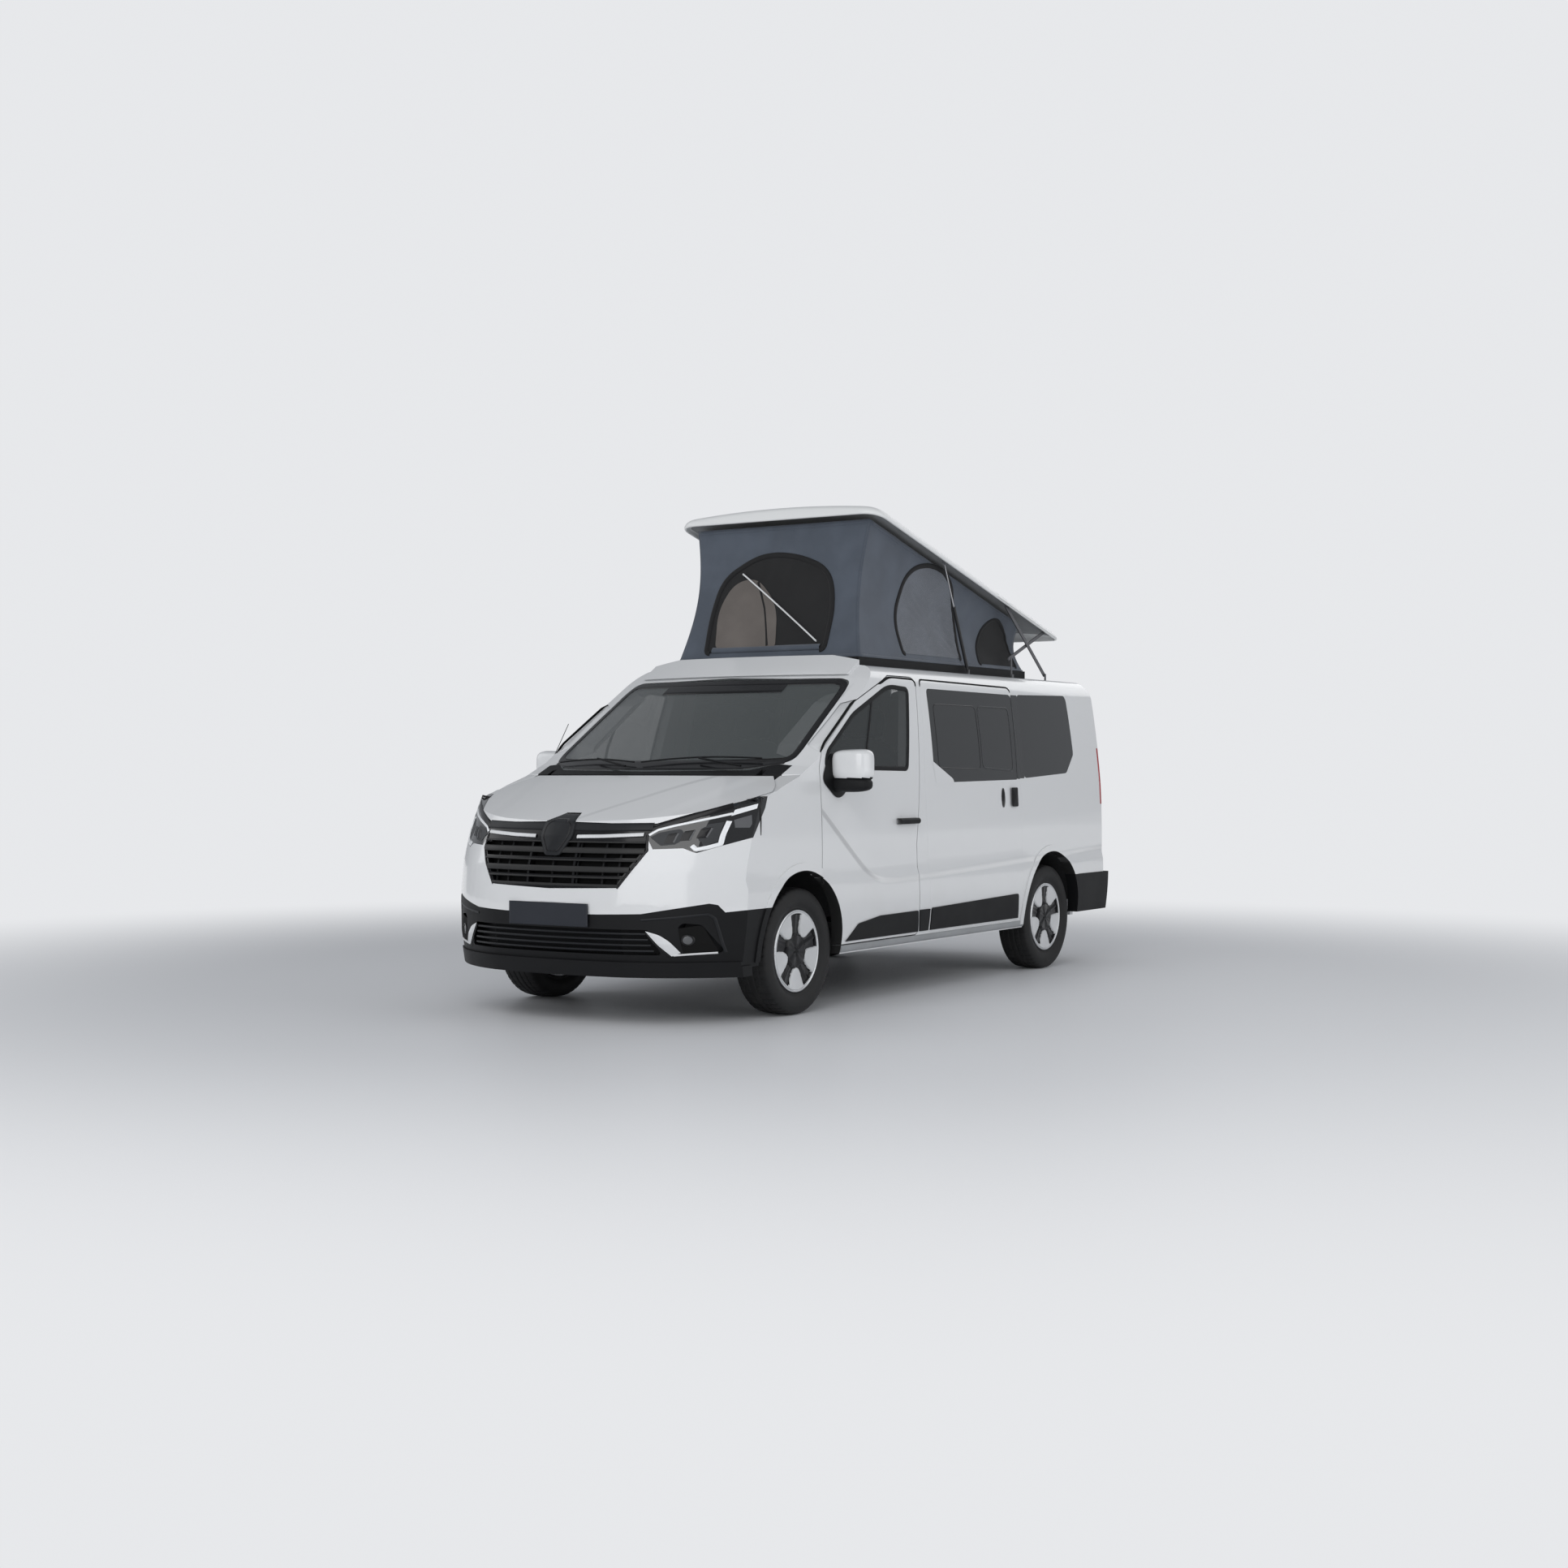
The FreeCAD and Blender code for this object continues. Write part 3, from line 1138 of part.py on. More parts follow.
def make_cabin():
    """Dashboard, steering wheel, seats, rear bench and the kitchen cabinet seen through the glass."""
    wall = section(WALL + 2.0, 40.0, False)
    y = FIREWALL_Y + FIT
    dash = prism_x(
        [
            (y, 836.0),
            (y, 1250.0),
            (y + 100.0, 1276.0),
            (y + 330.0, 1240.0, 40),
            (y + 380.0, 1060.0, 40),
            (y + 210.0, 800.0),
            (y + 60.0, 800.0),
        ],
        -DASH_HALF,
        DASH_HALF,
    )
    dash = dash.common(wall).cut(both(box(780.0, 900.0, -1430.0, DOOR_HINGE_Y + 8.0, 690.0, 1400.0)))
    nodes["dashboard"] = biggest(dash)
    x = -380.0
    ring = rod(198.0, (0, 0, -13.0), (0, 0, 13.0), 32).cut(rod(172.0, (0, 0, -13.0), (0, 0, 13.0), 32))
    boss = rod(52.0, (0, 0, -18.0), (0, 0, 18.0))
    spokes = [
        Part.makeBox(366.0, 30.0, 14.0, V(-183.0, -15.0, -7.0)),
        Part.makeBox(30.0, 182.0, 14.0, V(-15.0, -182.0, -7.0)),
    ]
    wheel = fuse([ring, boss] + spokes + [rod(20.0, (0, 0, -200.0), (0, 0, -10.0))])
    wheel.rotate(V(0, 0, 0), V(1, 0, 0), -62.0)
    wheel.translate(V(x, -872.0, 1128.0))
    nodes["steering_wheel"] = wheel.cut(nodes["dashboard"])
    seats = []
    for sign in (-1, 1):
        cx = sign * 400.0
        base = prism_x(
            [(-560.0, FLOOR_Z, 20), (-140.0, FLOOR_Z, 20), (-170.0, 790.0, 20), (-560.0, 790.0, 20)],
            cx - 190,
            cx + 190,
        )
        cushion = prism_x(
            [(-620.0, 771.0, 30), (-90.0, 771.0, 40), (-90.0, 880.0, 30), (-620.0, 920.0, 40)],
            cx - 245,
            cx + 245,
        )
        back = prism_x(
            [(-210.0, 860.0, 30), (-60.0, 860.0, 40), (60.0, 1490.0, 40), (-70.0, 1500.0, 40)],
            cx - 240,
            cx + 240,
        )
        head = prism_x(
            [(-60.0, 1520.0, 30), (50.0, 1510.0, 30), (60.0, 1690.0, 26), (-10.0, 1700.0, 26)],
            cx - 130,
            cx + 130,
        )
        post = box(cx - 60, cx + 60, -15.0, 5.0, 1470.0, 1545.0)
        seats.append(fuse([base, cushion, back, head, post]))
    nodes["front_seats"] = Part.makeCompound(seats)
    base = box(-420, 640, 1180.0, 1640.0, FLOOR_Z, 780.0)
    cushion = prism_x(
        [(1080.0, 780.5, 30), (1660.0, 780.5, 30), (1660.0, 900.0, 30), (1080.0, 930.0, 50)], -440, 640
    )
    back = prism_x(
        [(1600.0, 880.0, 30), (1730.0, 880.0, 30), (1850.0, 1440.0, 50), (1730.0, 1450.0, 50)], -440, 640
    )
    nodes["rear_bench"] = fuse([base, cushion, back])
    kitchen = box(-880, -470, 60.0, 2050.0, FLOOR_Z, 1230.0).common(section(WALL + FIT, 0.0, False))
    kitchen = kitchen.cut(
        [box(-900, -400, 1000.0, 2100.0, 980.0, 1300.0), box(-500, -400, 1000.0, 2100.0, 400.0, 1300.0)]
    )
    round_up = 1.0 / math.cos(math.pi / HOUSE_SIDES)
    housing = rod(
        (ARCH_R + 4.0 + HOUSE_T) * round_up + FIT,
        (-REAR_HOUSE_X + HOUSE_T + FIT, REAR_ARCH_Y, ARCH_Z),
        (-1000, REAR_ARCH_Y, ARCH_Z),
        HOUSE_SIDES,
    )
    nodes["kitchen_cabinet"] = biggest(kitchen.cut(housing))


def make_trim():
    """Side mouldings, mirrors, door handles, wipers and aerial."""
    strip = section(-7.0, 0.0, True).cut(section(0.0))
    door_strip = [
        (DOOR_REAR_LOW_Y - 6.0, 366.0),
        (-292.0, 492.0, 12),
        (-731.0, 489.0, 60),
        (-975.0, 459.0, 60),
        (-1100.0, 366.0),
    ]
    left = biggest(strip.common(prism_x(door_strip, 800.0, 1000.0)))
    nodes["door_moulding_left"] = left
    nodes["door_moulding_right"] = mirror(left)
    slide = prism_x(
        [(-120.0, 366.0), (-124.0, 498.0, 12), (1038.0, 524.0, 20), (1062.0, 366.0)], 800.0, 1000.0
    )
    pillar = prism_x([(-250.0, 366.0), (-270.0, 494.0), (-146.0, 494.0), (-146.0, 366.0)], 800.0, 1000.0)
    fixed = [biggest(strip.common(slide)), biggest(strip.common(pillar))]
    whole = prism_x([(-250.0, 366.0), (-270.0, 494.0), (1038.0, 524.0, 20), (1062.0, 366.0)], 800.0, 1000.0)
    fixed.append(mirror(biggest(strip.common(whole))))
    nodes["side_mouldings"] = Part.makeCompound(fixed)
    foot = prism_x(
        [(-1262.0, 1330.0, 10), (-1100.0, 1320.0, 10), (-1110.0, 1215.0, 10), (-1240.0, 1200.0, 10)],
        800.0,
        1000.0,
    )
    foot = biggest(section(-12.0).cut(section(0.0)).common(foot))
    arm = box(936.0, 1010.0, -1210.0, -1140.0, 1232.0, 1262.0).cut(section(0.0))
    head = prism_y(
        [(985.0, 1224.0, 30), (985.0, 1400.0, 60), (1150.0, 1420.0, 60), (1166.0, 1250.0, 50)],
        -1250.0,
        -1150.0,
    )
    glass_room = prism_y(
        [(1000.0, 1245.0, 20), (1000.0, 1385.0, 40), (1136.0, 1402.0, 40), (1150.0, 1265.0, 30)],
        -1158.0,
        -1140.0,
    )
    mirror_left = biggest(fuse([foot, biggest(arm), head]).cut(glass_room))
    nodes["mirror_left"] = mirror_left
    nodes["mirror_right"] = mirror(mirror_left)


shell = make_shell()
front = prism_x(front_zone(), -1000, 1000)
split_front(shell.common(front).cut(screen_zone()))
rear_shell = shell.cut(prism_x([(y, z) for y, z in front_zone()], -1000, 1000))
tailgate = split_rear(rear_shell)
door, door_glass = make_doors(shell)
door, door_brackets = door_hinges(door)
nodes["front_door_left"] = door
nodes["front_door_right"] = mirror(door)
nodes["front_door_glass_left"] = door_glass
nodes["front_door_glass_right"] = mirror(door_glass)

nodes["floor_pan"] = make_floor(door_brackets)


def tailgate_parts(panel):
    """The tailgate with its window, hinge pockets and pins, and the roof's hinge brackets."""
    y = TAIL_HINGE_Y
    z = TAIL_HINGE_Z
    window = prism_y(centred([(0.0, 1230.0)] + TAIL_WINDOW), 2200.0, REAR_Y)
    nodes["tailgate_glass"] = biggest(tail().cut(tail(SKIN)).common(window))
    panel = panel.cut(window)
    brackets = []
    for x in (TAIL_HINGE_X, -TAIL_HINGE_X):
        low = x - HINGE_H / 2
        high = x + HINGE_H / 2
        panel = panel.cut(box(low - FIT, high + FIT, 2200.0, y + BARREL_R + 1.5, z - BARREL_R - 1.5, 1950.0))
        panel = panel.fuse(cylinder(PIN_R, (low - 8.0, y, z), (high + 8.0, y, z)))
        arm = box(low, high, 2284.0, y, z - 4.0, z + 4.0).fuse(
            box(low, high, 2284.0, 2300.0, z - 4.0, 1912.0)
        )
        barrel = cylinder(BARREL_R, (low, y, z), (high, y, z))
        brackets.append(fuse([arm, barrel]).cut(cylinder(PIN_R + FIT, (low - 1, y, z), (high + 1, y, z))))
    nodes["tailgate"] = biggest(panel.removeSplitter())
    nodes["roof_panel"] = biggest(nodes["roof_panel"].fuse(brackets))


def bonnet_parts():
    """Straps under the bonnet that turn on pins in the scuttle's notches."""
    y = BONNET_HINGE_Y
    z = BONNET_HINGE_Z
    bonnet = nodes["bonnet"]
    scuttle = nodes["scuttle"]
    for x in (BONNET_HINGE_X, -BONNET_HINGE_X):
        points = [
            (y - 200.0, z - 76.0),
            (y - 60.0, z - 24.0),
            (y, z - 8.0),
            (y + 8.0, z),
            (y, z + 8.0),
            (y - 60.0, z - 2.0),
            (y - 200.0, z - 56.0),
        ]
        strap = prism_x(points, x - 6.0, x + 6.0).cut(cylinder(PIN_R + FIT, (x - 9, y, z), (x + 9, y, z)))
        bonnet = bonnet.fuse(strap)
        scuttle = scuttle.cut(box(x - 16.0, x + 16.0, y - 100.0, y + 16.0, z - 80.0, z + 200.0))
        scuttle = scuttle.fuse(cylinder(PIN_R, (x - 20.0, y, z), (x + 20.0, y, z)))
    nodes["bonnet"] = biggest(bonnet)
    nodes["scuttle"] = biggest(scuttle)


tailgate_parts(tailgate)
bonnet_parts()
make_wheels()
make_front_axle()
make_rear_axle()
make_underbody()
make_rear_bumper()
make_roof_fairing()
make_pop_top()
make_cabin()
make_trim()

os.makedirs("parts", exist_ok=True)
for name, shape in nodes.items():
    print(
        name,
        shape.isValid(),
        len(shape.Solids),
        round(shape.Volume / 1e6, 2),
        [
            round(c)
            for c in (
                shape.BoundBox.XMin,
                shape.BoundBox.XMax,
                shape.BoundBox.YMin,
                shape.BoundBox.YMax,
                shape.BoundBox.ZMin,
                shape.BoundBox.ZMax,
            )
        ],
    )
    shape.exportStep("parts/%s.step" % name)
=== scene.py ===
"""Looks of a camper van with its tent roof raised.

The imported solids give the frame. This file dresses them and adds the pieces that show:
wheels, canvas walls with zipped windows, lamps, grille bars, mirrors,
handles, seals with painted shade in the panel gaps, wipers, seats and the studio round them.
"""

import json
import logging
import math
from dataclasses import dataclass, field
from enum import Enum
from typing import Callable, Dict, List, Optional, Sequence, Tuple

import bmesh
import bpy
import numpy as np
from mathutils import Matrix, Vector


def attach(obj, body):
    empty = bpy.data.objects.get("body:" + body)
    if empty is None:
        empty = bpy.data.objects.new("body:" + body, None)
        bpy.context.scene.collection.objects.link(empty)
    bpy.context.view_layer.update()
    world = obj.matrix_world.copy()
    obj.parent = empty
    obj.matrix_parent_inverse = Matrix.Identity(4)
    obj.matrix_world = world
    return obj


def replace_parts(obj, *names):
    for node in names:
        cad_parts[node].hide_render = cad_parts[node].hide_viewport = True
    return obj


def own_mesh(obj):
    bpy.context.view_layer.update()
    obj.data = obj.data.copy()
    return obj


LOG = logging.getLogger("camper_van")
Array = np.ndarray
Point2 = Tuple[float, float]
Colour = Tuple[float, float, float]

TURN = 2 * math.pi
ROOF_ANGLE = math.radians(14.3)
ROOF_PIN = (1.3808, 2.399)

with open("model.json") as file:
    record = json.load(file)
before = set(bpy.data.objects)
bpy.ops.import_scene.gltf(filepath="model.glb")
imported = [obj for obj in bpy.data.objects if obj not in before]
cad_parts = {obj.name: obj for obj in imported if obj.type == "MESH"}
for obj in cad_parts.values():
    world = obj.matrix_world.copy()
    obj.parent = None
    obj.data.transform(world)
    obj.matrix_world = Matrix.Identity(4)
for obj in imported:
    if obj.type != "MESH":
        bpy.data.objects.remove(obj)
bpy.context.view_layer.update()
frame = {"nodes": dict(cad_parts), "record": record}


class Side(Enum):
    """The two sides of the vehicle, as the sign of X."""

    LEFT = 1
    RIGHT = -1

    @property
    def word(self) -> str:
        """The side's name in node names."""
        return "left" if self is Side.LEFT else "right"


# Shader expressions


class Sock:
    """A shader socket or number that sums, scales and compares as an expression."""

    def __init__(self, shade: "Shade", value: object) -> None:
        """Wraps a value.

        Args:
            shade: the material graph that new nodes go into.
            value: an output socket or a plain number.
        """
        self.shade = shade
        self.value = value

    def _math(self, kind: str, other: object, swap: bool = False) -> "Sock":
        """One Math node on this value and another."""
        a, b = (other, self) if swap else (self, other)
        return self.shade.node("ShaderNodeMath", {"operation": kind}, {0: a, 1: b})

    def __add__(self, other: object) -> "Sock":
        """This plus other."""
        return self._math("ADD", other)

    def __sub__(self, other: object) -> "Sock":
        """This less other."""
        return self._math("SUBTRACT", other)

    def __rsub__(self, other: object) -> "Sock":
        """Other less this."""
        return self._math("SUBTRACT", other, True)

    def __mul__(self, other: object) -> "Sock":
        """This times other."""
        return self._math("MULTIPLY", other)

    __radd__ = __add__
    __rmul__ = __mul__

    def called(self, kind: str, other: object = 0.0) -> "Sock":
        """Any other Math operation on this value."""
        return self._math(kind, other)

    def ramp(self, low: float, high: float) -> "Sock":
        """Zero below low, one above high, smooth between."""
        settings = {"interpolation_type": "SMOOTHSTEP", "clamp": True}
        return self.shade.node("ShaderNodeMapRange", settings, {0: self, 1: low, 2: high})


class Shade:
    """One material and the nodes that make it."""

    def __init__(self, name: str) -> None:
        """Makes an empty material with its principled shader.

        Args:
            name: the material's name.
        """
        self.material = bpy.data.materials.new(name)
        self.material.use_nodes = True
        self.tree = self.material.node_tree
        self.bsdf = next(n for n in self.tree.nodes if n.type == "BSDF_PRINCIPLED")
        self.coords = self.tree.nodes.new("ShaderNodeTexCoord")

    def node(
        self, kind: str, settings: Dict[str, object], inputs: Dict[object, object], out: object = 0
    ) -> Sock:
        """Adds one node.

        Args:
            kind: Blender's node type.
            settings: properties that are set first.
            inputs: values, colours or Socks for its sockets.
            out: the output wanted.

        Returns:
            The output as a Sock.
        """
        made = self.tree.nodes.new(kind)
        for key, value in settings.items():
            setattr(made, key, value)
        for key, value in inputs.items():
            if isinstance(value, Sock):
                value = value.value
            if isinstance(value, bpy.types.NodeSocket):
                self.tree.links.new(value, made.inputs[key])
            else:
                made.inputs[key].default_value = value
        return Sock(self, made.outputs[out])

    def object_point(self) -> Sock:
        """The point on the object, in metres."""
        return Sock(self, self.coords.outputs["Object"])

    def axis(self, letter: str) -> Sock:
        """One coordinate of the point on the object."""
        return self.node("ShaderNodeSeparateXYZ", {}, {0: self.object_point()}, letter)

    def scaled(self, size: Tuple[float, float, float]) -> Sock:
        """The point times a size along each axis."""
        point = self.object_point()
        return self.node("ShaderNodeVectorMath", {"operation": "MULTIPLY"}, {0: point, 1: size})

    def noise(self, scale: float, detail: float = 3.0, stretch: Tuple = (1, 1, 1)) -> Sock:
        """Soft noise from 0 to 1."""
        inputs = {"Vector": self.scaled(stretch), "Scale": scale, "Detail": detail}
        return self.node("ShaderNodeTexNoise", {}, inputs)

    def wave(self, letter: str, scale: float) -> Sock:
        """Even bands across one axis, from 0 to 1."""
        settings = {"wave_type": "BANDS", "bands_direction": letter}
        return self.node("ShaderNodeTexWave", settings, {0: self.object_point(), 1: scale}, 1)

    def blend(self, mask: Sock, low: Colour, high: Colour) -> Sock:
        """A colour between two, by a mask."""
        inputs = {0: mask, 6: (*low, 1.0), 7: (*high, 1.0)}
        return self.node("ShaderNodeMix", {"data_type": "RGBA"}, inputs, 2)

    def set(self, socket: str, value: object) -> None:
        """Sets or links one socket of the shader."""
        target = self.bsdf.inputs[socket]
        if isinstance(value, Sock):
            self.tree.links.new(value.value, target)
        elif isinstance(value, tuple) and len(value) == 3:
            target.default_value = (*value, 1.0)
        else:
            target.default_value = value

    def bump(self, height: Sock, depth: float, distance: float = 0.001) -> None:
        """Feeds a height to the normal."""
        inputs = {"Height": height, "Strength": depth, "Distance": distance}
        self.set("Normal", self.node("ShaderNodeBump", {}, inputs))


# Finishes


def tint(colour: Colour, share: float) -> Colour:
    """A colour made darker or paler."""
    return tuple(c * share for c in colour)


@dataclass(frozen=True)
class Paint:
    """Gloss body paint with a clear coat, road film low down, black arch edges and pressed lines."""

    name: str
    colour: Colour
    film: Colour = (0.55, 0.54, 0.52)
    creased: bool = False
    swaged: bool = False
    arches: Tuple[float, float] = (-1.551, 1.562)
    arch_z: float = 0.365
    arch_r: float = 0.4132
    base_rough: float = 0.20
    coat_rough: float = 0.06

    def make(self) -> bpy.types.Material:
        """Builds the material.

        Returns:
            The material. A bonnet's creases run back and outwards from its middle. A side's swage
            is z = 0.686 + 0.036 (y + 0.303) + 0.8 s, where s rises smoothly ahead of y = -0.8.
        """
        s = Shade(self.name)
        low = 1.0 - s.axis("Z").ramp(0.28, 0.85)
        cloud = s.noise(3.0, 4.0).ramp(0.35, 0.75)
        y, z = s.axis("Y"), s.axis("Z")
        up = z - self.arch_z
        rim = (self.arch_r, self.arch_r + 0.0006)
        away = [((y - c) * (y - c) + up * up).called("SQRT").ramp(*rim) for c in self.arches]
        outside = away[0] * away[1]
        dusty = s.blend(low * cloud * 0.25, self.colour, self.film)
        edged = {0: outside, 6: (0.008, 0.008, 0.008, 1.0), 7: dusty}
        s.set("Base Color", s.node("ShaderNodeMix", {"data_type": "RGBA"}, edged, 2))
        s.set("Roughness", s.noise(9.0, 2.0) * 0.06 + self.base_rough + (1.0 - outside) * 0.45)
        s.set("Coat Weight", 0.7)
        s.set("Coat Roughness", self.coat_rough)
        grain = s.noise(420.0, 1.0) * 0.03
        if self.creased:
            across = s.axis("X").called("ABSOLUTE")
            inner = (across - s.axis("Y") * 0.62 - 1.56).ramp(-0.030, 0.030)
            outer = (across - s.axis("Y") * 0.30 - 1.27).ramp(-0.10, 0.02)
            grain = grain * 0.2 + inner * 1.0 - outer * 1.2
            s.bump(grain, 1.0, 0.0045)
        elif self.swaged:
            ahead = -0.8 - y
            rise = (ahead + (ahead * ahead + 0.0144).called("SQRT")) * 0.5
            line = z - rise * 0.8 - (y + 0.303) * 0.036 - 0.686
            fold, easing = line.ramp(-0.030, 0.020) * 1.0, line.ramp(0.02, 0.26) * 0.6
            s.bump(grain * 0.02 - fold + easing, 1.0, 0.020)
        else:
            s.bump(grain, 0.8, 0.0004)
        return s.material


@dataclass(frozen=True)
class Moulded:
    """Grained black plastic, satin or glossy."""

    name: str
    colour: Colour
    roughness: float = 0.5
    grain: float = 0.25
    gloss: float = 0.30

    def make(self) -> bpy.types.Material:
        """Builds the material."""
        s = Shade(self.name)
        s.set("Specular IOR Level", self.gloss)
        grain = s.noise(900.0, 2.0)
        fade = s.noise(4.0, 3.0).ramp(0.3, 0.8)
        faded = tuple(min(1.0, c * 1.4 + 0.002) for c in self.colour)
        s.set("Base Color", s.blend(fade * 0.5, self.colour, faded))
        s.set("Roughness", fade * 0.1 + self.roughness)
        s.bump(grain, self.grain, 0.0005)
        return s.material


@dataclass(frozen=True)
class Glass:
    """Tinted safety glass, darker where its alpha is high."""

    name: str
    colour: Colour
    alpha: float

    def make(self) -> bpy.types.Material:
        """Builds the material."""
        s = Shade(self.name)
        s.set("Base Color", s.blend(s.noise(1.4, 2.0), self.colour, tint(self.colour, 1.3)))
        s.set("Roughness", s.noise(6.0, 2.0) * 0.02 + 0.015)
        s.set("Alpha", self.alpha)
        s.set("Coat Weight", 1.0)
        s.set("Coat Roughness", 0.01)
        return s.material


@dataclass(frozen=True)
class Metal:
    """Bare or plated metal with fine brushed marks."""

    name: str
    colour: Colour
    roughness: float = 0.25
    brushed: float = 0.15

    def make(self) -> bpy.types.Material:
        """Builds the material."""
        s = Shade(self.name)
        marks = s.noise(260.0, 3.0, (1.0, 14.0, 1.0))
        s.set("Metallic", 1.0)
        s.set("Base Color", s.blend(marks * 0.4, self.colour, tint(self.colour, 0.8)))
        s.set("Roughness", marks * self.brushed + self.roughness)
        s.bump(marks, 0.06, 0.0003)
        return s.material


@dataclass(frozen=True)
class Rubber:
    """Tyre rubber, dustier on its tread."""

    name: str
    colour: Colour = (0.013, 0.013, 0.014)

    def make(self) -> bpy.types.Material:
        """Builds the material."""
        s = Shade(self.name)
        dust = s.noise(14.0, 5.0).ramp(0.45, 0.8)
        s.set("Base Color", s.blend(dust * 0.35, self.colour, (0.05, 0.048, 0.045)))
        s.set("Roughness", dust * 0.2 + 0.62)
        s.bump(s.noise(300.0, 3.0), 0.2, 0.0006)
        return s.material


@dataclass(frozen=True)
class Cloth:
    """Woven cloth whose threads run with the object's own axes."""

    name: str
    colour: Colour
    thread: float = 900.0
    bump: float = 0.35
    sheen: float = 0.25

    def make(self) -> bpy.types.Material:
        """Builds the material."""
        s = Shade(self.name)
        across, along, sideways = (s.wave(letter, self.thread) for letter in "YZX")
        weave = (across + along + sideways) * 0.33
        cloud = s.noise(5.0, 4.0).ramp(0.3, 0.75)
        dark = tint(self.colour, 0.72)
        s.set("Base Color", s.blend(cloud * 0.5 + weave * 0.3, dark, tint(self.colour, 1.12)))
        s.set("Roughness", weave * 0.1 + 0.8)
        s.set("Sheen Weight", self.sheen)
        s.bump(weave + s.noise(30.0, 3.0) * 0.8, self.bump, 0.0008)
        return s.material


@dataclass(frozen=True)
class Lens:
    """Lamp plastic that glows a little from within."""

    name: str
    colour: Colour
    glow: float = 0.0
    alpha: float = 1.0

    def make(self) -> bpy.types.Material:
        """Builds the material."""
        s = Shade(self.name)
        flutes = s.wave("Z", 60.0)
        s.set("Base Color", s.blend(flutes * 0.5, self.colour, tint(self.colour, 0.6)))
        s.set("Roughness", flutes * 0.04 + 0.08)
        s.set("Coat Weight", 1.0)
        s.set("Alpha", self.alpha)
        if self.glow > 0.0:
            s.set("Emission Color", self.colour)
            s.set("Emission Strength", self.glow)
        return s.material


@dataclass(frozen=True)
class Laminate:
    """Pale cabinet board with a faint grain."""

    name: str
    colour: Colour

    def make(self) -> bpy.types.Material:
        """Builds the material."""
        s = Shade(self.name)
        grain = s.noise(7.0, 6.0, (1.0, 1.0, 14.0))
        s.set("Base Color", s.blend(grain, self.colour, tint(self.colour, 0.8)))
        s.set("Roughness", grain * 0.15 + 0.4)
        s.bump(grain, 0.08, 0.0004)
        return s.material


FINISHES = {
    f.name: f
    for f in (
        Paint("white_paint", (0.76, 0.77, 0.78)),
        Paint("side_paint", (0.76, 0.77, 0.78), swaged=True),
        Paint("bonnet_paint", (0.76, 0.77, 0.78), creased=True),
        Paint("roof_gelcoat", (0.76, 0.77, 0.77), base_rough=0.42, coat_rough=0.35),
        Moulded("black_plastic", (0.006, 0.0063, 0.0072), 0.50, 0.25, 0.22),
        Moulded("pod_plastic", (0.010, 0.011, 0.013), 0.38, 0.15, 0.3),
        Moulded("gloss_black", (0.005, 0.005, 0.006), 0.16, 0.03, 0.35),
        Moulded("seal_rubber", (0.006, 0.006, 0.006), 0.75, 0.3, 0.15),
        Moulded("slat_plastic", (0.020, 0.020, 0.020), 0.42, 0.3, 0.35),
        Glass("lamp_glass", (0.008, 0.0085, 0.009), 0.97),
        Moulded("lamp_inner", (0.045, 0.047, 0.050), 0.42, 0.05, 0.2),
        Moulded("lamp_grey", (0.090, 0.093, 0.098), 0.22, 0.03, 0.6),
        Lens("red_lens", (0.34, 0.006, 0.012), 0.12),
        Glass("tinted_glass", (0.008, 0.009, 0.0095), 0.94),
        Glass("clear_glass", (0.030, 0.036, 0.036), 0.52),
        Glass("screen_glass", (0.075, 0.088, 0.088), 0.50),
        Moulded("underbody_steel", (0.02, 0.02, 0.021), 0.65, 0.4),
        Metal("steel", (0.50, 0.50, 0.51), 0.3),
        Metal("cast", (0.14, 0.14, 0.15), 0.55),
        Metal("grey_steel", (0.20, 0.20, 0.21), 0.42),
        Moulded("black_steel", (0.010, 0.010, 0.011), 0.3, 0.05, 0.5),
        Cloth("canvas", (0.082, 0.100, 0.130)),
        Cloth("pane_cloth", (0.125, 0.140, 0.168), 1200.0, 0.6, 0.35),
        Moulded("dash_plastic", (0.018, 0.018, 0.020), 0.62, 0.5),
        Cloth("seat_fabric", (0.030, 0.031, 0.035), 600.0),
        Laminate("cabinet_board", (0.42, 0.41, 0.38)),
        Metal("alloy", (0.80, 0.81, 0.82), 0.30, 0.06),
        Moulded("petal", (0.62, 0.63, 0.64), 0.28, 0.02, 0.5),
        # Painted shade: a grey for the white sill where it falls into shadow.
        Moulded("sill_shade_grey", (0.30, 0.31, 0.32), 0.38, 0.1, 0.4),
        Cloth("zip_black", (0.006, 0.006, 0.007), 1400.0, 0.2, 0.05),
        Cloth("window_mesh", (0.010, 0.010, 0.011), 2200.0, 0.5, 0.05),
        Cloth("inner_panel", (0.150, 0.132, 0.120), 1200.0, 0.3, 0.2),
        Lens("lamp_strip", (0.84, 0.86, 0.88), 0.15),
        Moulded("bright_trim", (0.66, 0.67, 0.68), 0.16, 0.02, 0.6),
        Cloth("lining", (0.22, 0.23, 0.24), 700.0, 0.2, 0.2),
        Moulded("plate_blank", (0.016, 0.019, 0.027), 0.35, 0.05, 0.4),
        Metal("mirror_glass", (0.75, 0.77, 0.78), 0.03, 0.01),
    )
}
FINISHES["tyre"] = Rubber("tyre_rubber", (0.0055, 0.0055, 0.006))


class Wardrobe:
    """Makes each finish once and puts it on objects."""

    def __init__(self) -> None:
        """Starts with no material made."""
        self.made: Dict[str, bpy.types.Material] = {}

    def get(self, name: str) -> bpy.types.Material:
        """The material of one finish."""
        if name not in self.made:
            self.made[name] = FINISHES[name].make()
        return self.made[name]

    def dress(self, obj: bpy.types.Object, *names: str) -> None:
        """Replaces an object's material slots."""
        obj.data.materials.clear()
        for name in names:
            obj.data.materials.append(self.get(name))


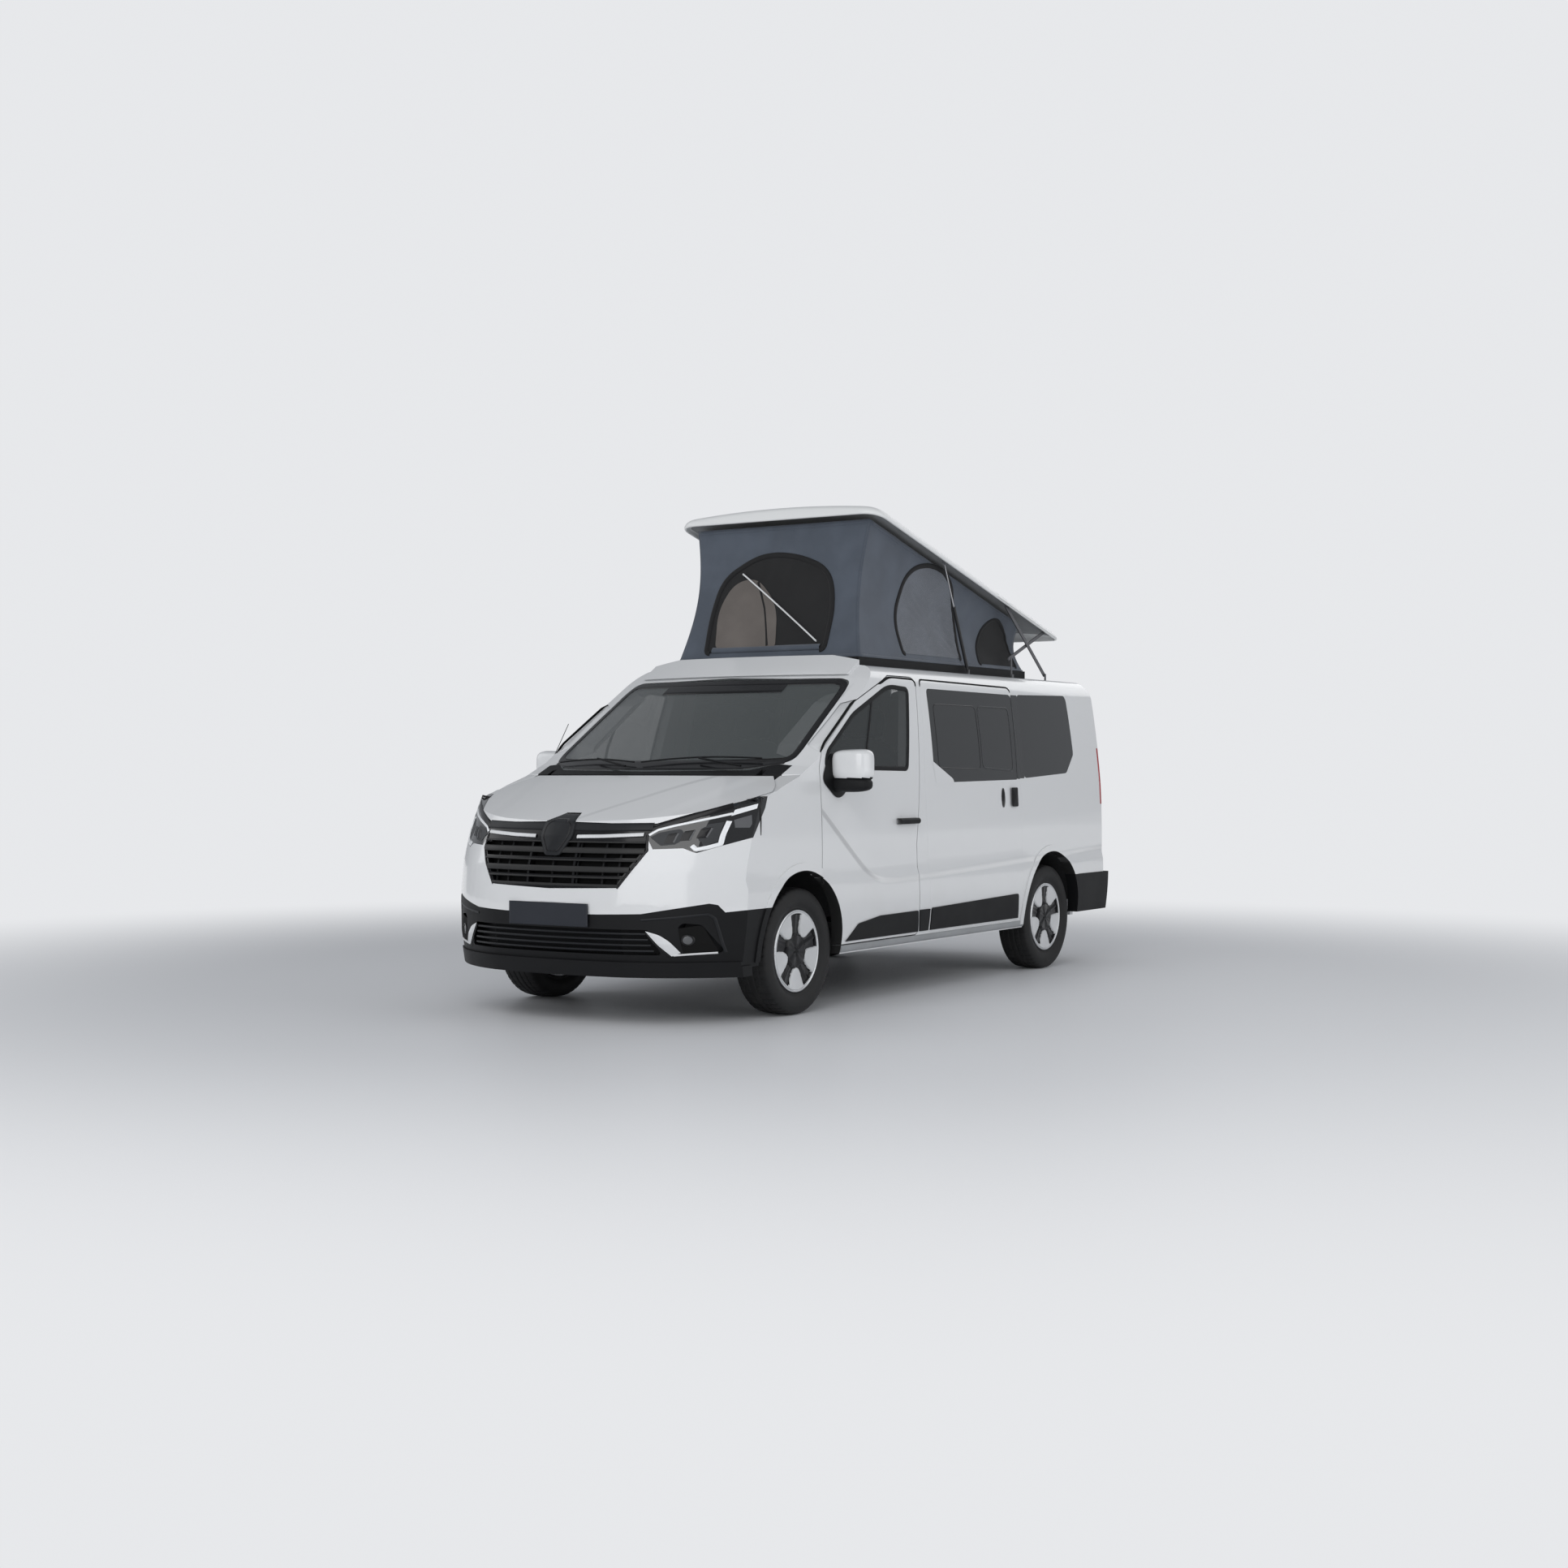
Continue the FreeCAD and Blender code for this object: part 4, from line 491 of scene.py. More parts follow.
WARDROBE = Wardrobe()


# Surfaces


def through(x: Array, knots: Sequence[Point2]) -> Array:
    """A parabola through three points, the near form of a shallow arc.

    Args:
        x: where to read it.
        knots: three (x, value) points.

    Returns:
        The values at x.
    """
    (a, fa), (b, fb), (c, fc) = knots
    first = fa * (x - b) * (x - c) / ((a - b) * (a - c))
    second = fb * (x - a) * (x - c) / ((b - a) * (b - c))
    return first + second + fc * (x - a) * (x - b) / ((c - a) * (c - b))


@dataclass
class Hull:
    """The body's outer surface as functions of two coordinates, in metres."""

    front: float = -2.540
    nose_knots: Tuple[Point2, ...] = (
        (0.24, 0.048), (0.43, 0.008), (0.62, 0.0), (0.82, 0.025),
        (0.975, 0.078), (1.058, 0.122), (1.179, 0.186), (2.3, 0.780),
    )
    brow_knots: Tuple[Point2, ...] = (
        (0.2, -0.12), (0.98, -0.06), (1.04, 0.095), (1.068, 0.165), (1.112, 0.285),
        (1.166, 0.44), (1.240, 0.64), (1.294, 0.80), (1.365, 0.938), (1.6, 1.306),
        (1.85, 1.698), (2.0, 1.94), (2.09, 2.085),
    )

    def nose_y(self, x: Array, z: Array) -> Array:
        """The nose: its profile by height plus a plan curve that steepens towards the sides."""
        wide = np.abs(x)

        def plan(v: float) -> float:
            """The plan curve at a knot."""
            return 0.06 * (v / 0.97) ** 2 + 0.375 * (v / 0.97) ** 3

        knots = {k: plan(k) for k in (0.0, 0.42, 0.62, 0.8, 0.9, 1.0)}
        inner = knots[0.42] * (wide / 0.42) ** 2
        middle = through(wide, [(k, knots[k]) for k in (0.42, 0.62, 0.8)])
        outer = through(wide, [(k, knots[k]) for k in (0.8, 0.9, 1.0)])
        curve = np.where(wide < 0.42, inner, np.where(wide < 0.8, middle, outer))
        return self.front + np.interp(z, *zip(*self.nose_knots)) + curve

    def brow_y(self, x: Array, z: Array) -> Array:
        """The bonnet and windscreen: Y at a height, with crown and plan bend."""
        height, back = np.array(self.brow_knots).T
        share = np.clip((height - 1.06) / 0.29, 0.12, 1.0)
        round_top = np.minimum((height - 0.98) / 0.12, (1.40 - height) / 0.3)
        crown = 0.026 * np.clip(round_top, 0.0, 1.0)
        x, z = np.broadcast_arrays(np.asarray(x, float), np.asarray(z, float))
        bend = (x / 0.8) ** 2
        zs = [h - c * bend for h, c in zip(height, crown)]
        ys = [self.front + b + 0.15 * k * bend for b, k in zip(back, share)]
        y = np.full(x.shape, np.nan)
        for z0, z1, y0, y1 in zip(zs, zs[1:], ys, ys[1:]):
            t = (z - z0) / (z1 - z0)
            y = np.where((t >= 0) & (t <= 1), y0 + (y1 - y0) * t, y)
        return y

    def side_x(self, z: Array) -> Array:
        """Half width by height: sill, swage, belt and the lean in of the windows."""
        low = through(z, [(0.30, 0.932), (0.48, 0.958), (0.70, 0.964)])
        step = np.interp(z, [0.70, 0.75], [0.964, 0.953])
        mid = through(z, [(0.75, 0.953), (0.96, 0.953), (1.22, 0.943)])
        high = through(z, [(1.22, 0.943), (1.50, 0.914), (1.80, 0.868)])
        top = through(z, [(1.80, 0.868), (1.876, 0.838), (1.922, 0.770)])
        return np.select([z < 0.70, z < 0.75, z < 1.22, z < 1.80], [low, step, mid, high], top)

    def tail_y(self, x: Array, z: Array) -> Array:
        """The rear: its leaning profile or its plan curve, whichever is further forward."""
        lower = through(z, [(0.90, 2.440), (1.30, 2.431), (1.68, 2.402)])
        upper = through(z, [(1.68, 2.402), (1.80, 2.386), (1.925, 2.342)])
        profile = np.select([z < 0.9, z < 1.68], [np.full_like(z, 2.440), lower], upper)
        return np.minimum(profile, 2.442 - 0.09 * (x / 1.1) ** 2)


HULL = Hull()


def added(name: str, data: bpy.types.ID) -> bpy.types.Object:
    """A new object in the scene."""
    obj = bpy.data.objects.new(name, data)
    bpy.context.scene.collection.objects.link(obj)
    return obj


def put(
    name: str, rows: Array, body: str, finish: str, closed: Tuple[bool, bool] = (False, False),
    flip: bool = False, smooth: bool = True, thick: float = 0.0, extra: Sequence[str] = (),
    masks: Optional[Array] = None,
) -> bpy.types.Object:
    """Makes a piece from a grid of points.

    Args:
        name: the piece's name.
        rows: points, shaped (rows, columns, 3), in metres.
        body: the CAD body it rides on.
        finish: its finish.
        closed: whether the rows and the columns join at their ends.
        flip: turns the faces round.
        smooth: smooth shading.
        thick: a wall thickness, for a sheet; it grows inwards.
        extra: more finishes, for masks.
        masks: material index per face, as (rows, columns).

    Returns:
        The object.
    """
    n, m = rows.shape[:2]
    i = np.arange(n if closed[0] else n - 1)
    j = np.arange(m if closed[1] else m - 1)
    a, b = np.meshgrid(i, j, indexing="ij")
    c, d = (a + 1) % n, (b + 1) % m
    quads = np.stack([a * m + b, a * m + d, c * m + d, c * m + b], -1).reshape(-1, 4)
    if flip:
        quads = quads[:, ::-1]
    mesh = bpy.data.meshes.new(name)
    mesh.from_pydata(rows.reshape(-1, 3).tolist(), [], quads.tolist())
    mesh.update()
    mesh.polygons.foreach_set("use_smooth", [smooth] * len(mesh.polygons))
    obj = added(name, mesh)
    WARDROBE.dress(obj, finish, *extra)
    if masks is not None:
        index = masks[: len(i), : len(j)].reshape(-1).astype(int)
        mesh.polygons.foreach_set("material_index", index)
    if thick > 0.0:
        wall = obj.modifiers.new("wall", "SOLIDIFY")
        wall.thickness = thick
        wall.offset = -1.0
    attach(obj, body)
    LOG.info("%s on %s: %d faces", name, body, len(mesh.polygons))
    return obj


def corners(points: Sequence[Tuple], count: int = 8) -> Array:
    """A closed outline with rounded corners.

    Args:
        points: (u, v) or (u, v, radius) corners.
        count: points on each round.

    Returns:
        The outline's points; each round is a quadratic curve whose control point is the corner.
    """
    p = np.array([q[:2] for q in points], float)
    r = np.array([q[2] if len(q) > 2 else 0.0 for q in points])
    before = np.roll(p, 1, 0) - p
    after = np.roll(p, -1, 0) - p
    short = np.minimum(np.linalg.norm(before, axis=1), np.linalg.norm(after, axis=1))
    r = np.minimum(r, 0.49 * short)
    before /= np.linalg.norm(before, axis=1, keepdims=True)
    after /= np.linalg.norm(after, axis=1, keepdims=True)
    t = np.linspace(0, 1, count)[None, :, None]
    a, c = (p + before * r[:, None])[:, None], (p + after * r[:, None])[:, None]
    curve = (1 - t) ** 2 * a + 2 * t * (1 - t) * p[:, None] + t**2 * c
    return curve.reshape(-1, 2)


def resampled(path: Array, count: int, closed: bool = False) -> Array:
    """Evenly spaced points along a path."""
    if closed:
        path = np.vstack([path, path[:1]])
    step = np.linalg.norm(np.diff(path, axis=0), axis=1)
    keep = np.concatenate([[True], step > 1e-9])
    path = path[keep]
    s = np.concatenate([[0.0], np.cumsum(np.linalg.norm(np.diff(path, axis=0), axis=1))])
    at = np.linspace(0, s[-1], count, endpoint=not closed)
    return np.stack([np.interp(at, s, path[:, k]) for k in range(path.shape[1])], -1)


Place = Callable[[Array, Array, float], Array]
EDGE_DEPTH = 0.006


def on_nose(u: Array, v: Array, lift: float) -> Array:
    """Puts (x, z) on the nose, lifted forwards."""
    return np.stack([u, HULL.nose_y(u, v) - lift, v], -1)


def on_front(u: Array, v: Array, lift: float) -> Array:
    """Puts (x, z) on the nose or on the bonnet, whichever is further back."""
    slope = np.nan_to_num(HULL.brow_y(u, v), nan=-9.0)
    return np.stack([u, np.maximum(HULL.nose_y(u, v), slope) - lift, v], -1)


def on_screen(u: Array, v: Array, lift: float) -> Array:
    """Puts (x, z) on the bonnet or windscreen, lifted off along its slope."""
    return np.stack([u, HULL.brow_y(u, v) - lift * 0.55, v + lift * 0.83], -1)


def on_side(side: Side) -> Place:
    """A function that puts (y, z) on a body side, lifted outwards."""

    def place(u: Array, v: Array, lift: float) -> Array:
        """Places the points."""
        return np.stack([side.value * (HULL.side_x(v) + lift), u, v], -1)

    return place


def sunk(place: Place, depth: float) -> Place:
    """A surface some way below another."""
    return lambda u, v, lift: place(u, v, lift - depth)


def on_tail(u: Array, v: Array, lift: float) -> Array:
    """Puts (x, z) on the tail, lifted rearwards."""
    return np.stack([u, HULL.tail_y(u, v) + lift, v], -1)


def ribbon(
    path: Array, width: float, place: Place, lift: float, closed: bool = False, rise: float = 0.002
) -> Array:
    """A band along a path on a surface, with a low crowned section.

    Args:
        path: (u, v) points.
        width: its full width.
        place: the surface.
        lift: its edges' height over the surface.
        closed: whether the path joins up.
        rise: how far the middle stands above the edges.

    Returns:
        Points as (path, section, 3); the section is a flat parabola.
    """
    if closed:
        tangent = np.roll(path, -1, 0) - np.roll(path, 1, 0)
    else:
        tangent = np.gradient(path, axis=0)
    tangent /= np.linalg.norm(tangent, axis=1, keepdims=True) + 1e-12
    normal = np.stack([-tangent[:, 1], tangent[:, 0]], -1)
    across = np.array([-0.5, -0.5, -0.25, 0.0, 0.25, 0.5, 0.5])
    rises = (0.0, rise * 0.75, rise, rise * 0.75, 0.0)
    heights = [-EDGE_DEPTH, *(lift + r for r in rises), -EDGE_DEPTH]
    grid = path[:, None, :] + normal[:, None, :] * (across * width)[None, :, None]
    rows = [place(grid[:, k, 0], grid[:, k, 1], heights[k]) for k in range(len(across))]
    return np.stack(rows, 1)


def patch(outline: Array, place: Place, lift: float, rings: int = 10, dome: float = 0.0) -> Array:
    """A filled outline on a surface, from its middle outwards.

    Args:
        outline: closed (u, v) points.
        place: the surface.
        lift: height over the surface.
        rings: steps from the middle to the edge.
        dome: extra height in the middle.

    Returns:
        Points as (ring, outline, 3), each ring the outline drawn in towards its mean.
    """
    middle = outline.mean(0)
    rows = []
    for s in np.linspace(0.0, 1.0, rings):
        at = middle + (outline - middle) * s
        rows.append(place(at[:, 0], at[:, 1], lift + dome * (1 - float(s) ** 2)))
    return np.stack(rows, 0)


def tube(points: Array, radius: float, sides: int = 10) -> Array:
    """A round bar along points, its section square to the path.

    Args:
        points: the path in space.
        radius: its radius.
        sides: points round it.

    Returns:
        Points as (path, section, 3).
    """
    tangent = np.gradient(points, axis=0)
    tangent /= np.linalg.norm(tangent, axis=1, keepdims=True)
    up = np.array([0.0, 0.0, 1.0]) if abs(tangent[0, 2]) < 0.9 else np.array([1.0, 0.0, 0.0])
    side = np.cross(tangent, up)
    side /= np.linalg.norm(side, axis=1, keepdims=True)
    top = np.cross(side, tangent)
    a = np.linspace(0, TURN, sides, endpoint=False)
    ring = side[:, None] * np.cos(a)[None, :, None] + top[:, None] * np.sin(a)[None, :, None]
    return points[:, None] + ring * radius


def rounded_box(size: Tuple[float, float, float], power: float = 5.0, n: int = 28) -> Array:
    """A box with soft edges, a superellipsoid over latitude and longitude."""
    v = np.linspace(-math.pi / 2, math.pi / 2, n)[:, None]
    u = np.linspace(-math.pi, math.pi, 2 * n, endpoint=False)[None, :]

    def soft(c: Array) -> Array:
        """A sine or cosine flattened towards a square."""
        return np.sign(c) * np.abs(c) ** (2.0 / power)

    x = soft(np.cos(v)) * soft(np.cos(u)) * size[0] / 2
    y = soft(np.cos(v)) * soft(np.sin(u)) * size[1] / 2
    z = soft(np.sin(v)) * size[2] / 2 + 0 * u
    return np.stack([x, y, z], -1)


def outlined(points: Sequence[Tuple], rounding: int, count: int, closed: bool = True) -> Array:
    """Evenly spaced points on an outline with rounded corners."""
    return resampled(corners(points, rounding), count, closed)


def mirrored(points: List[Tuple]) -> List[Tuple]:
    """An outline's left half followed by its mirror image."""
    return points + [(-q[0], *q[1:]) for q in reversed(points)]


def oblong(u: float, half: float, low: float, high: float, radius: float) -> List[Tuple]:
    """The rounded corners of an upright rectangle about u."""
    u0, u1 = u - half, u + half
    return [(u0, low, radius), (u1, low, radius), (u1, high, radius), (u0, high, radius)]


def circle(u: float, v: float, ru: float, rv: float, count: int) -> Array:
    """Points round an ellipse."""
    q = np.linspace(0, TURN, count, endpoint=False)
    return np.stack([u + ru * np.cos(q), v + rv * np.sin(q)], -1)


def level(u0: float, u1: float, v: float, count: int) -> Array:
    """A level line of (u, v) points."""
    return np.stack([np.linspace(u0, u1, count), np.full(count, v)], -1)


def upright(u: float, v0: float, v1: float, count: int) -> Array:
    """An upright line of (u, v) points."""
    return np.stack([np.full(count, u), np.linspace(v0, v1, count)], -1)


def turned_x(p: Array, angle: float) -> Array:
    """Points turned about the X axis."""
    c, s = math.cos(angle), math.sin(angle)
    return np.stack([p[..., 0], p[..., 1] * c - p[..., 2] * s, p[..., 1] * s + p[..., 2] * c], -1)


def band(
    name: str, body: str, finish: str, path: Array, width: float, place: Place, lift: float,
    rise: float = 0.002, closed: bool = False, flip: bool = False,
) -> bpy.types.Object:
    """A ribbon as a piece; its arguments are those of put and ribbon."""
    rows = ribbon(path, width, place, lift, closed, rise)
    return put(name, rows, body, finish, (closed, False), flip)


def fill(
    name: str, body: str, finish: str, outline: Array, place: Place, lift: float,
    rings: int = 8, dome: float = 0.0, flip: bool = False, thick: float = 0.0,
) -> bpy.types.Object:
    """A filled outline as a piece; its arguments are those of put and patch."""
    rows = patch(outline, place, lift, rings, dome)
    return put(name, rows, body, finish, (False, True), flip, thick=thick)


def bar(
    name: str, body: str, finish: str, points: Array, radius: float, sides: int = 8
) -> bpy.types.Object:
    """A round bar as a piece; its arguments are those of put and tube."""
    return put(name, tube(points, radius, sides), body, finish, (False, True))


def block(
    name: str, body: str, finish: str, size: Tuple, centre: Sequence[float], power: float, n: int
) -> bpy.types.Object:
    """A soft-edged box as a piece; its arguments are those of put and rounded_box."""
    return put(name, rounded_box(size, power, n) + np.array(centre), body, finish, (False, True))


# Sub-assemblies


@dataclass
class Wheel:
    """One road wheel: tyre, rim, hub cap, bolts and brake disc."""

    name: str
    side: Side
    centre: Tuple[float, float]
    radius: float = 0.343
    rim_radius: float = 0.222
    width: float = 0.215
    shoulder: float = 0.018
    groove: float = 0.0065
    lanes: Tuple[float, ...] = (-0.62, -0.2, 0.2, 0.62)
    cut: float = 0.005
    hub: float = 0.086
    blades: int = 5
    cap_radius: float = 0.034
    bolt_circle: float = 0.054
    bolt_radius: float = 0.0085

    def _placed(self, across: Array, y: Array, z: Array) -> Array:
        """Points of the wheel's own axes (outwards, rearwards and up from its centre)."""
        across, y, z = np.broadcast_arrays(across, y, z)
        x = self.side.value * (self.centre[0] + across)
        return np.stack([x, self.centre[1] + y, self.radius + z], -1)

    def _spin(self, profile: Array, count: int) -> Array:
        """Turns (across, radius) points round the axle."""
        a = np.linspace(0, TURN, count, endpoint=False)[:, None]
        r = profile[None, :, 1]
        return self._placed(profile[None, :, 0], r * np.cos(a), r * np.sin(a))

    def _put(
        self, part: str, rows: Array, finish: str, round_both: bool, **more: object
    ) -> bpy.types.Object:
        """A piece of the wheel, turned solids (round_both) or faces."""
        flip = self.side is (Side.LEFT if round_both else Side.RIGHT)
        name, body = f"{self.name}_{part}", "wheel_" + self.name
        return put(name, rows, body, finish, (round_both, True), flip, **more)

    def tyre(self) -> None:
        """A tyre with a crowned tread, four grooves, cross cuts and a bulged sidewall."""
        half, tread_top, steps = self.width / 2, self.radius - 0.0005, 288
        t = np.linspace(-1, 1, 61)
        tread = np.stack([t * (half - self.shoulder), tread_top - 0.006 * t**4], -1)
        to_lane = np.min(np.abs(t[:, None] - np.array(self.lanes)[None]), 1)
        tread[:, 1] -= self.groove * (to_lane < 0.045)
        wall = np.linspace(0, 1, 16)[1:]
        top = self.radius - self.groove
        depth = top - (top - self.rim_radius - 0.004) * wall
        swell = np.sin(math.pi * np.minimum(1.0, wall * 1.15)) ** 0.7
        bulge = half - self.shoulder + self.shoulder * swell - 0.006 * wall**3
        right = np.stack([np.minimum(bulge, half), depth], -1)
        left = np.stack([-right[::-1, 0], right[::-1, 1]], -1)
        bead = [half - 0.03, self.rim_radius + 0.003]
        rows = self._spin(np.vstack([left, tread, right, [bead, [-bead[0], bead[1]]]]), steps)
        cuts = ((np.arange(steps) % 6) < 1)[:, None] & (np.abs(t) > 0.24)[None]
        at = slice(len(left), len(left) + len(t))
        middle = np.array([self.centre[1], self.radius])
        scale = (1 - self.cut * cuts / self.radius)[..., None]
        rows[:, at, 1:] = (rows[:, at, 1:] - middle) * scale + middle
        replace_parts(self._put("tyre", rows, "tyre", True), "tyre_" + self.name)

    @property
    def face_x(self) -> float:
        """How far the rim's face stands out from the wheel's middle."""
        return self.width / 2 - 0.017

    def rim(self) -> None:
        """The rim's turned barrel and lip."""
        w, r = self.face_x, self.rim_radius
        lip = np.array(
            [[-w, r], [-w, r - 0.012], [-w + 0.02, r - 0.022], [0.03, r - 0.026],
             [w - 0.03, r - 0.02], [w - 0.012, r - 0.016], [w - 0.002, r - 0.010], [w, r - 0.004],
             [w - 0.003, r + 0.001], [w - 0.012, r + 0.001], [0.0, r - 0.006], [-w + 0.01, r]]
        )
        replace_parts(self._put("rim", self._spin(lip, 160), "alloy", True), "rim_" + self.name)

    def face(self) -> None:
        """The rim's face: bright blades between black pockets, with a rib down each pocket."""
        w, r, hub, outer = self.face_x, self.rim_radius, self.hub, 0.2045
        steps = [np.linspace(0.010, hub, 12), np.linspace(0.090, r - 0.012, 36)]
        radius = np.concatenate(steps)[:, None]
        angle = np.linspace(0, TURN, 360, endpoint=False)[None, :]
        turn = (angle * self.blades / TURN + 0.25) % 1.0 - 0.5
        arc = np.abs(turn) * TURN / self.blades * radius
        pocket = ([0.088, 0.10, 0.125, 0.19, 0.206], [0.060, 0.042, 0.038, 0.053, 0.057])
        half = np.interp(radius, *pocket)
        dark = (arc < half) & (radius < outer) | (radius < 0.088)
        blade = np.clip((arc - half) / 0.004, 0, 1) * (radius >= hub) + (radius > outer)
        blade = np.clip(blade, 0, 1)
        rib = np.exp(-((arc / 0.012) ** 2)) * (radius > 0.06) * (radius < 0.2)
        dish = 0.006 * np.sin(np.clip((radius - 0.03) / (r - 0.03), 0, 1) * math.pi)
        sunk_in = 0.012 * (1 - blade) * (radius > hub)
        depth = w - 0.006 - dish - sunk_in + 0.004 * rib * (1 - blade)
        depth = np.where(radius < hub, w - 0.012 + 0.002 * np.cos(turn * TURN), depth)
        rows = self._placed(depth, radius * np.cos(angle), radius * np.sin(angle))
        masks = np.where(dark, 1, 0)
        self._put("face", rows, "petal", False, thick=0.006, extra=("gloss_black",), masks=masks)

    def middle(self) -> None:
        """The bare hub cap and the wheel bolts round it."""
        ends = np.linspace(0, TURN, 12, endpoint=False)
        r = self.cap_radius
        edge = corners([(math.cos(q) * r, math.sin(q) * r, 0.006) for q in ends], 3)
        at = self.face_x - 0.013
        cap = patch(edge, lambda u, v, h: self._placed(at + h, u, v), 0.0, 6, 0.006)
        self._put("cap", cap, "black_plastic", False, thick=0.004)
        shank = np.array([0.0, 0.004, 0.012, 0.016]) + self.face_x - 0.034
        for k in range(self.blades):
            q = TURN * (k + 0.25) / self.blades
            y, z = self.bolt_circle * math.cos(q), self.bolt_circle * math.sin(q)
            name, body = f"{self.name}_bolt_{k}", "wheel_" + self.name
            bar(name, body, "black_steel", self._placed(shank, y, z), self.bolt_radius, 6)

    def brake(self) -> None:
        """A brake disc behind the rim's face."""
        ring = np.array([[0.022, 0.07], [0.022, 0.152], [0.046, 0.152], [0.046, 0.07]])
        self._put("disc", self._spin(ring, 96), "steel", True, smooth=False)

    def build(self) -> None:
        """Builds the wheel."""
        self.tyre()
        self.rim()
        self.face()
        self.middle()
        self.brake()


@dataclass
class TentWalls:
    """The canvas walls under the raised roof, with zipped windows."""

    half: float = 0.62
    base_z: float = 1.985
    front_y: float = -0.418
    rear_y: float = 1.748
    lean: float = 0.18
    flare: float = 0.024
    waist: float = 0.046
    hollow: float = 0.010
    top_ripple: float = 0.0022
    low_ripple: float = 0.0020
    corner_fold: float = 0.0030
    crush: float = 0.0030
    hem_out: float = 1.003
    slope: float = math.tan(ROOF_ANGLE)
    ridge: Point2 = ROOF_PIN
    cut_area: float = 0.0
    parts: List[bpy.types.Object] = field(default_factory=list)

    def top_z(self, y: Array) -> Array:
        """Height of the roof's underside, a plane that falls to the rear."""
        return self.ridge[1] - (y - self.ridge[0]) * self.slope - 0.006

    def half_width(self, t: Array) -> Array:
        """Half the tent's width at a share of its height."""
        return self.half + self.flare * (1 - t) ** 3 - self.waist * np.sin(math.pi * t)

    def front_line(self, t: Array) -> Array:
        """Y of the front wall, which leans back and flares out to the rail."""
        rise = self.ridge[1] - self.base_z - (self.front_y - self.ridge[0]) * self.slope
        straight = self.front_y + t * (rise * self.lean) / (1 + self.lean * self.slope)
        return straight - self.flare * (1 - t) ** 3 + 0.020 * np.sin(math.pi * t)

    def point(self, s: Array, t: Array) -> Array:
        """The wall at a place round it and up it.

        Args:
            s: 0 to 4, round the four walls from the left rear corner.
            t: 0 at the rail and 1 at the roof.

        Returns:
            Points; a wall is a ruled surface that draws in at mid height, flares out to the rail
            as a cube of the distance from the roof, and carries sine ripples and corner folds.
        """
        s = np.asarray(s, float)
        front, half = self.front_line(t), self.half_width(t)
        walls = [s < 1, s < 2, s < 3]
        run = self.rear_y - front
        y = np.select(
            walls, [self.rear_y - run * np.clip(s, 0, 1), front, front + run * (s - 2)], self.rear_y
        )
        x = np.select(walls, [half, half * (1 - 2 * (s - 1)), -half], half * (2 * (s - 3) - 1))
        z = self.base_z + t * (self.top_z(y) - self.base_z)
        edge = np.sin(math.pi * (s % 1.0))
        swell = np.sin(math.pi * t)
        ripple = self.top_ripple * np.sin(s * 61.0 + 9.0 * t) * t**2 * edge
        ripple = ripple + self.low_ripple * np.sin(s * 23.0 - 11.0 * t) * (1 - t)
        near = np.exp(-((((s % 1.0) - 0.06) / 0.07) ** 2))
        folds = self.corner_fold * np.sin(34.0 * t + 9.0 * s) * near * swell
        inward = swell * self.hollow * edge**0.5 + (ripple + folds) * edge**0.3
        x = x - np.select(walls, [inward, 0.0 * inward, -inward], 0.0)
        y = y + np.select(walls, [0.0 * inward, inward, 0.0 * inward], -inward)
        return np.stack([x, y, z], -1)

    def wall(self) -> bpy.types.Object:
        """The whole tent wall as one sheet round the roof opening."""
        s, t = np.meshgrid(np.linspace(0, 4, 321)[:-1], np.linspace(0, 1, 41), indexing="ij")
        rows = self.point(s, t)
        obj = put("tent_wall", rows, "van", "canvas", (True, False), True, thick=0.002)
        along = np.roll(rows, -1, 0)[:, :-1] - rows[:, :-1]
        cells = np.linalg.norm(np.cross(along, rows[:, 1:] - rows[:, :-1]), axis=-1)
        self.cut_area = float(cells.sum())
        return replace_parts(obj, "canvas")

    def _fold(self, obj: bpy.types.Object) -> None:
        """Gives a piece of the tent its own mesh and keeps it among the tent's parts."""
        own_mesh(obj)
        self.parts.append(obj)

    def _on_wall(self, wall: int, sign: float) -> Place:
        """A function that puts (y or x, z) on a wall.

        Args:
            wall: 0 for the left wall, 1 for the front, 2 for the right.
            sign: which way the wall faces.
        """

        def place(u: Array, v: Array, lift: float) -> Array:
            """Places the points by solving for the wall's own s and t."""
            t = np.full_like(u, 0.5)
            if wall == 1:
                for _ in range(5):
                    t = (v - self.base_z) / (self.top_z(self.front_line(t)) - self.base_z)
                p = self.point(1 + (1 - u / self.half_width(t)) / 2, t)
                p[..., 1] -= lift
                return p
            for _ in range(4):
                s = (self.rear_y - u) / (self.rear_y - self.front_line(t))
                t = (v - self.base_z) / (self.top_z(u) - self.base_z)
            p = self.point(s if wall == 0 else 3 - s, t)
            p[..., 0] += sign * lift
            return p

        return place

    def window(
        self, name: str, wall: int, sign: float, outline: Sequence[Tuple], finish: str, width: float
    ) -> None:
        """A zipped window: its panel and the zip round it."""
        place = self._on_wall(wall, sign)
        flip = wall in (1, 2)
        rings, count = 16, 140
        rows = patch(outlined(outline, 24, count), place, 0.0045, rings, 0.003)
        if finish == "pane_cloth":
            ring = np.arange(rings)[:, None]
            y, z = rows[..., 1], rows[..., 2]
            waves = np.sin(z * 95.0 + 2.2 * np.sin(y * 17.0)) * np.sin(y * 31.0)
            held = np.sin(math.pi * np.minimum(ring / (rings - 1.0), 1.0)) ** 0.5
            rows[..., 0] += sign * self.crush * waves * held
        self._fold(put(name + "_panel", rows, "van", finish, (False, True), not flip))
        zipped = outlined(outline, 24, count, False)
        self._fold(
            band(name + "_zip", "van", "zip_black", zipped, width, place, 0.0065, 0.004, flip=flip)
        )

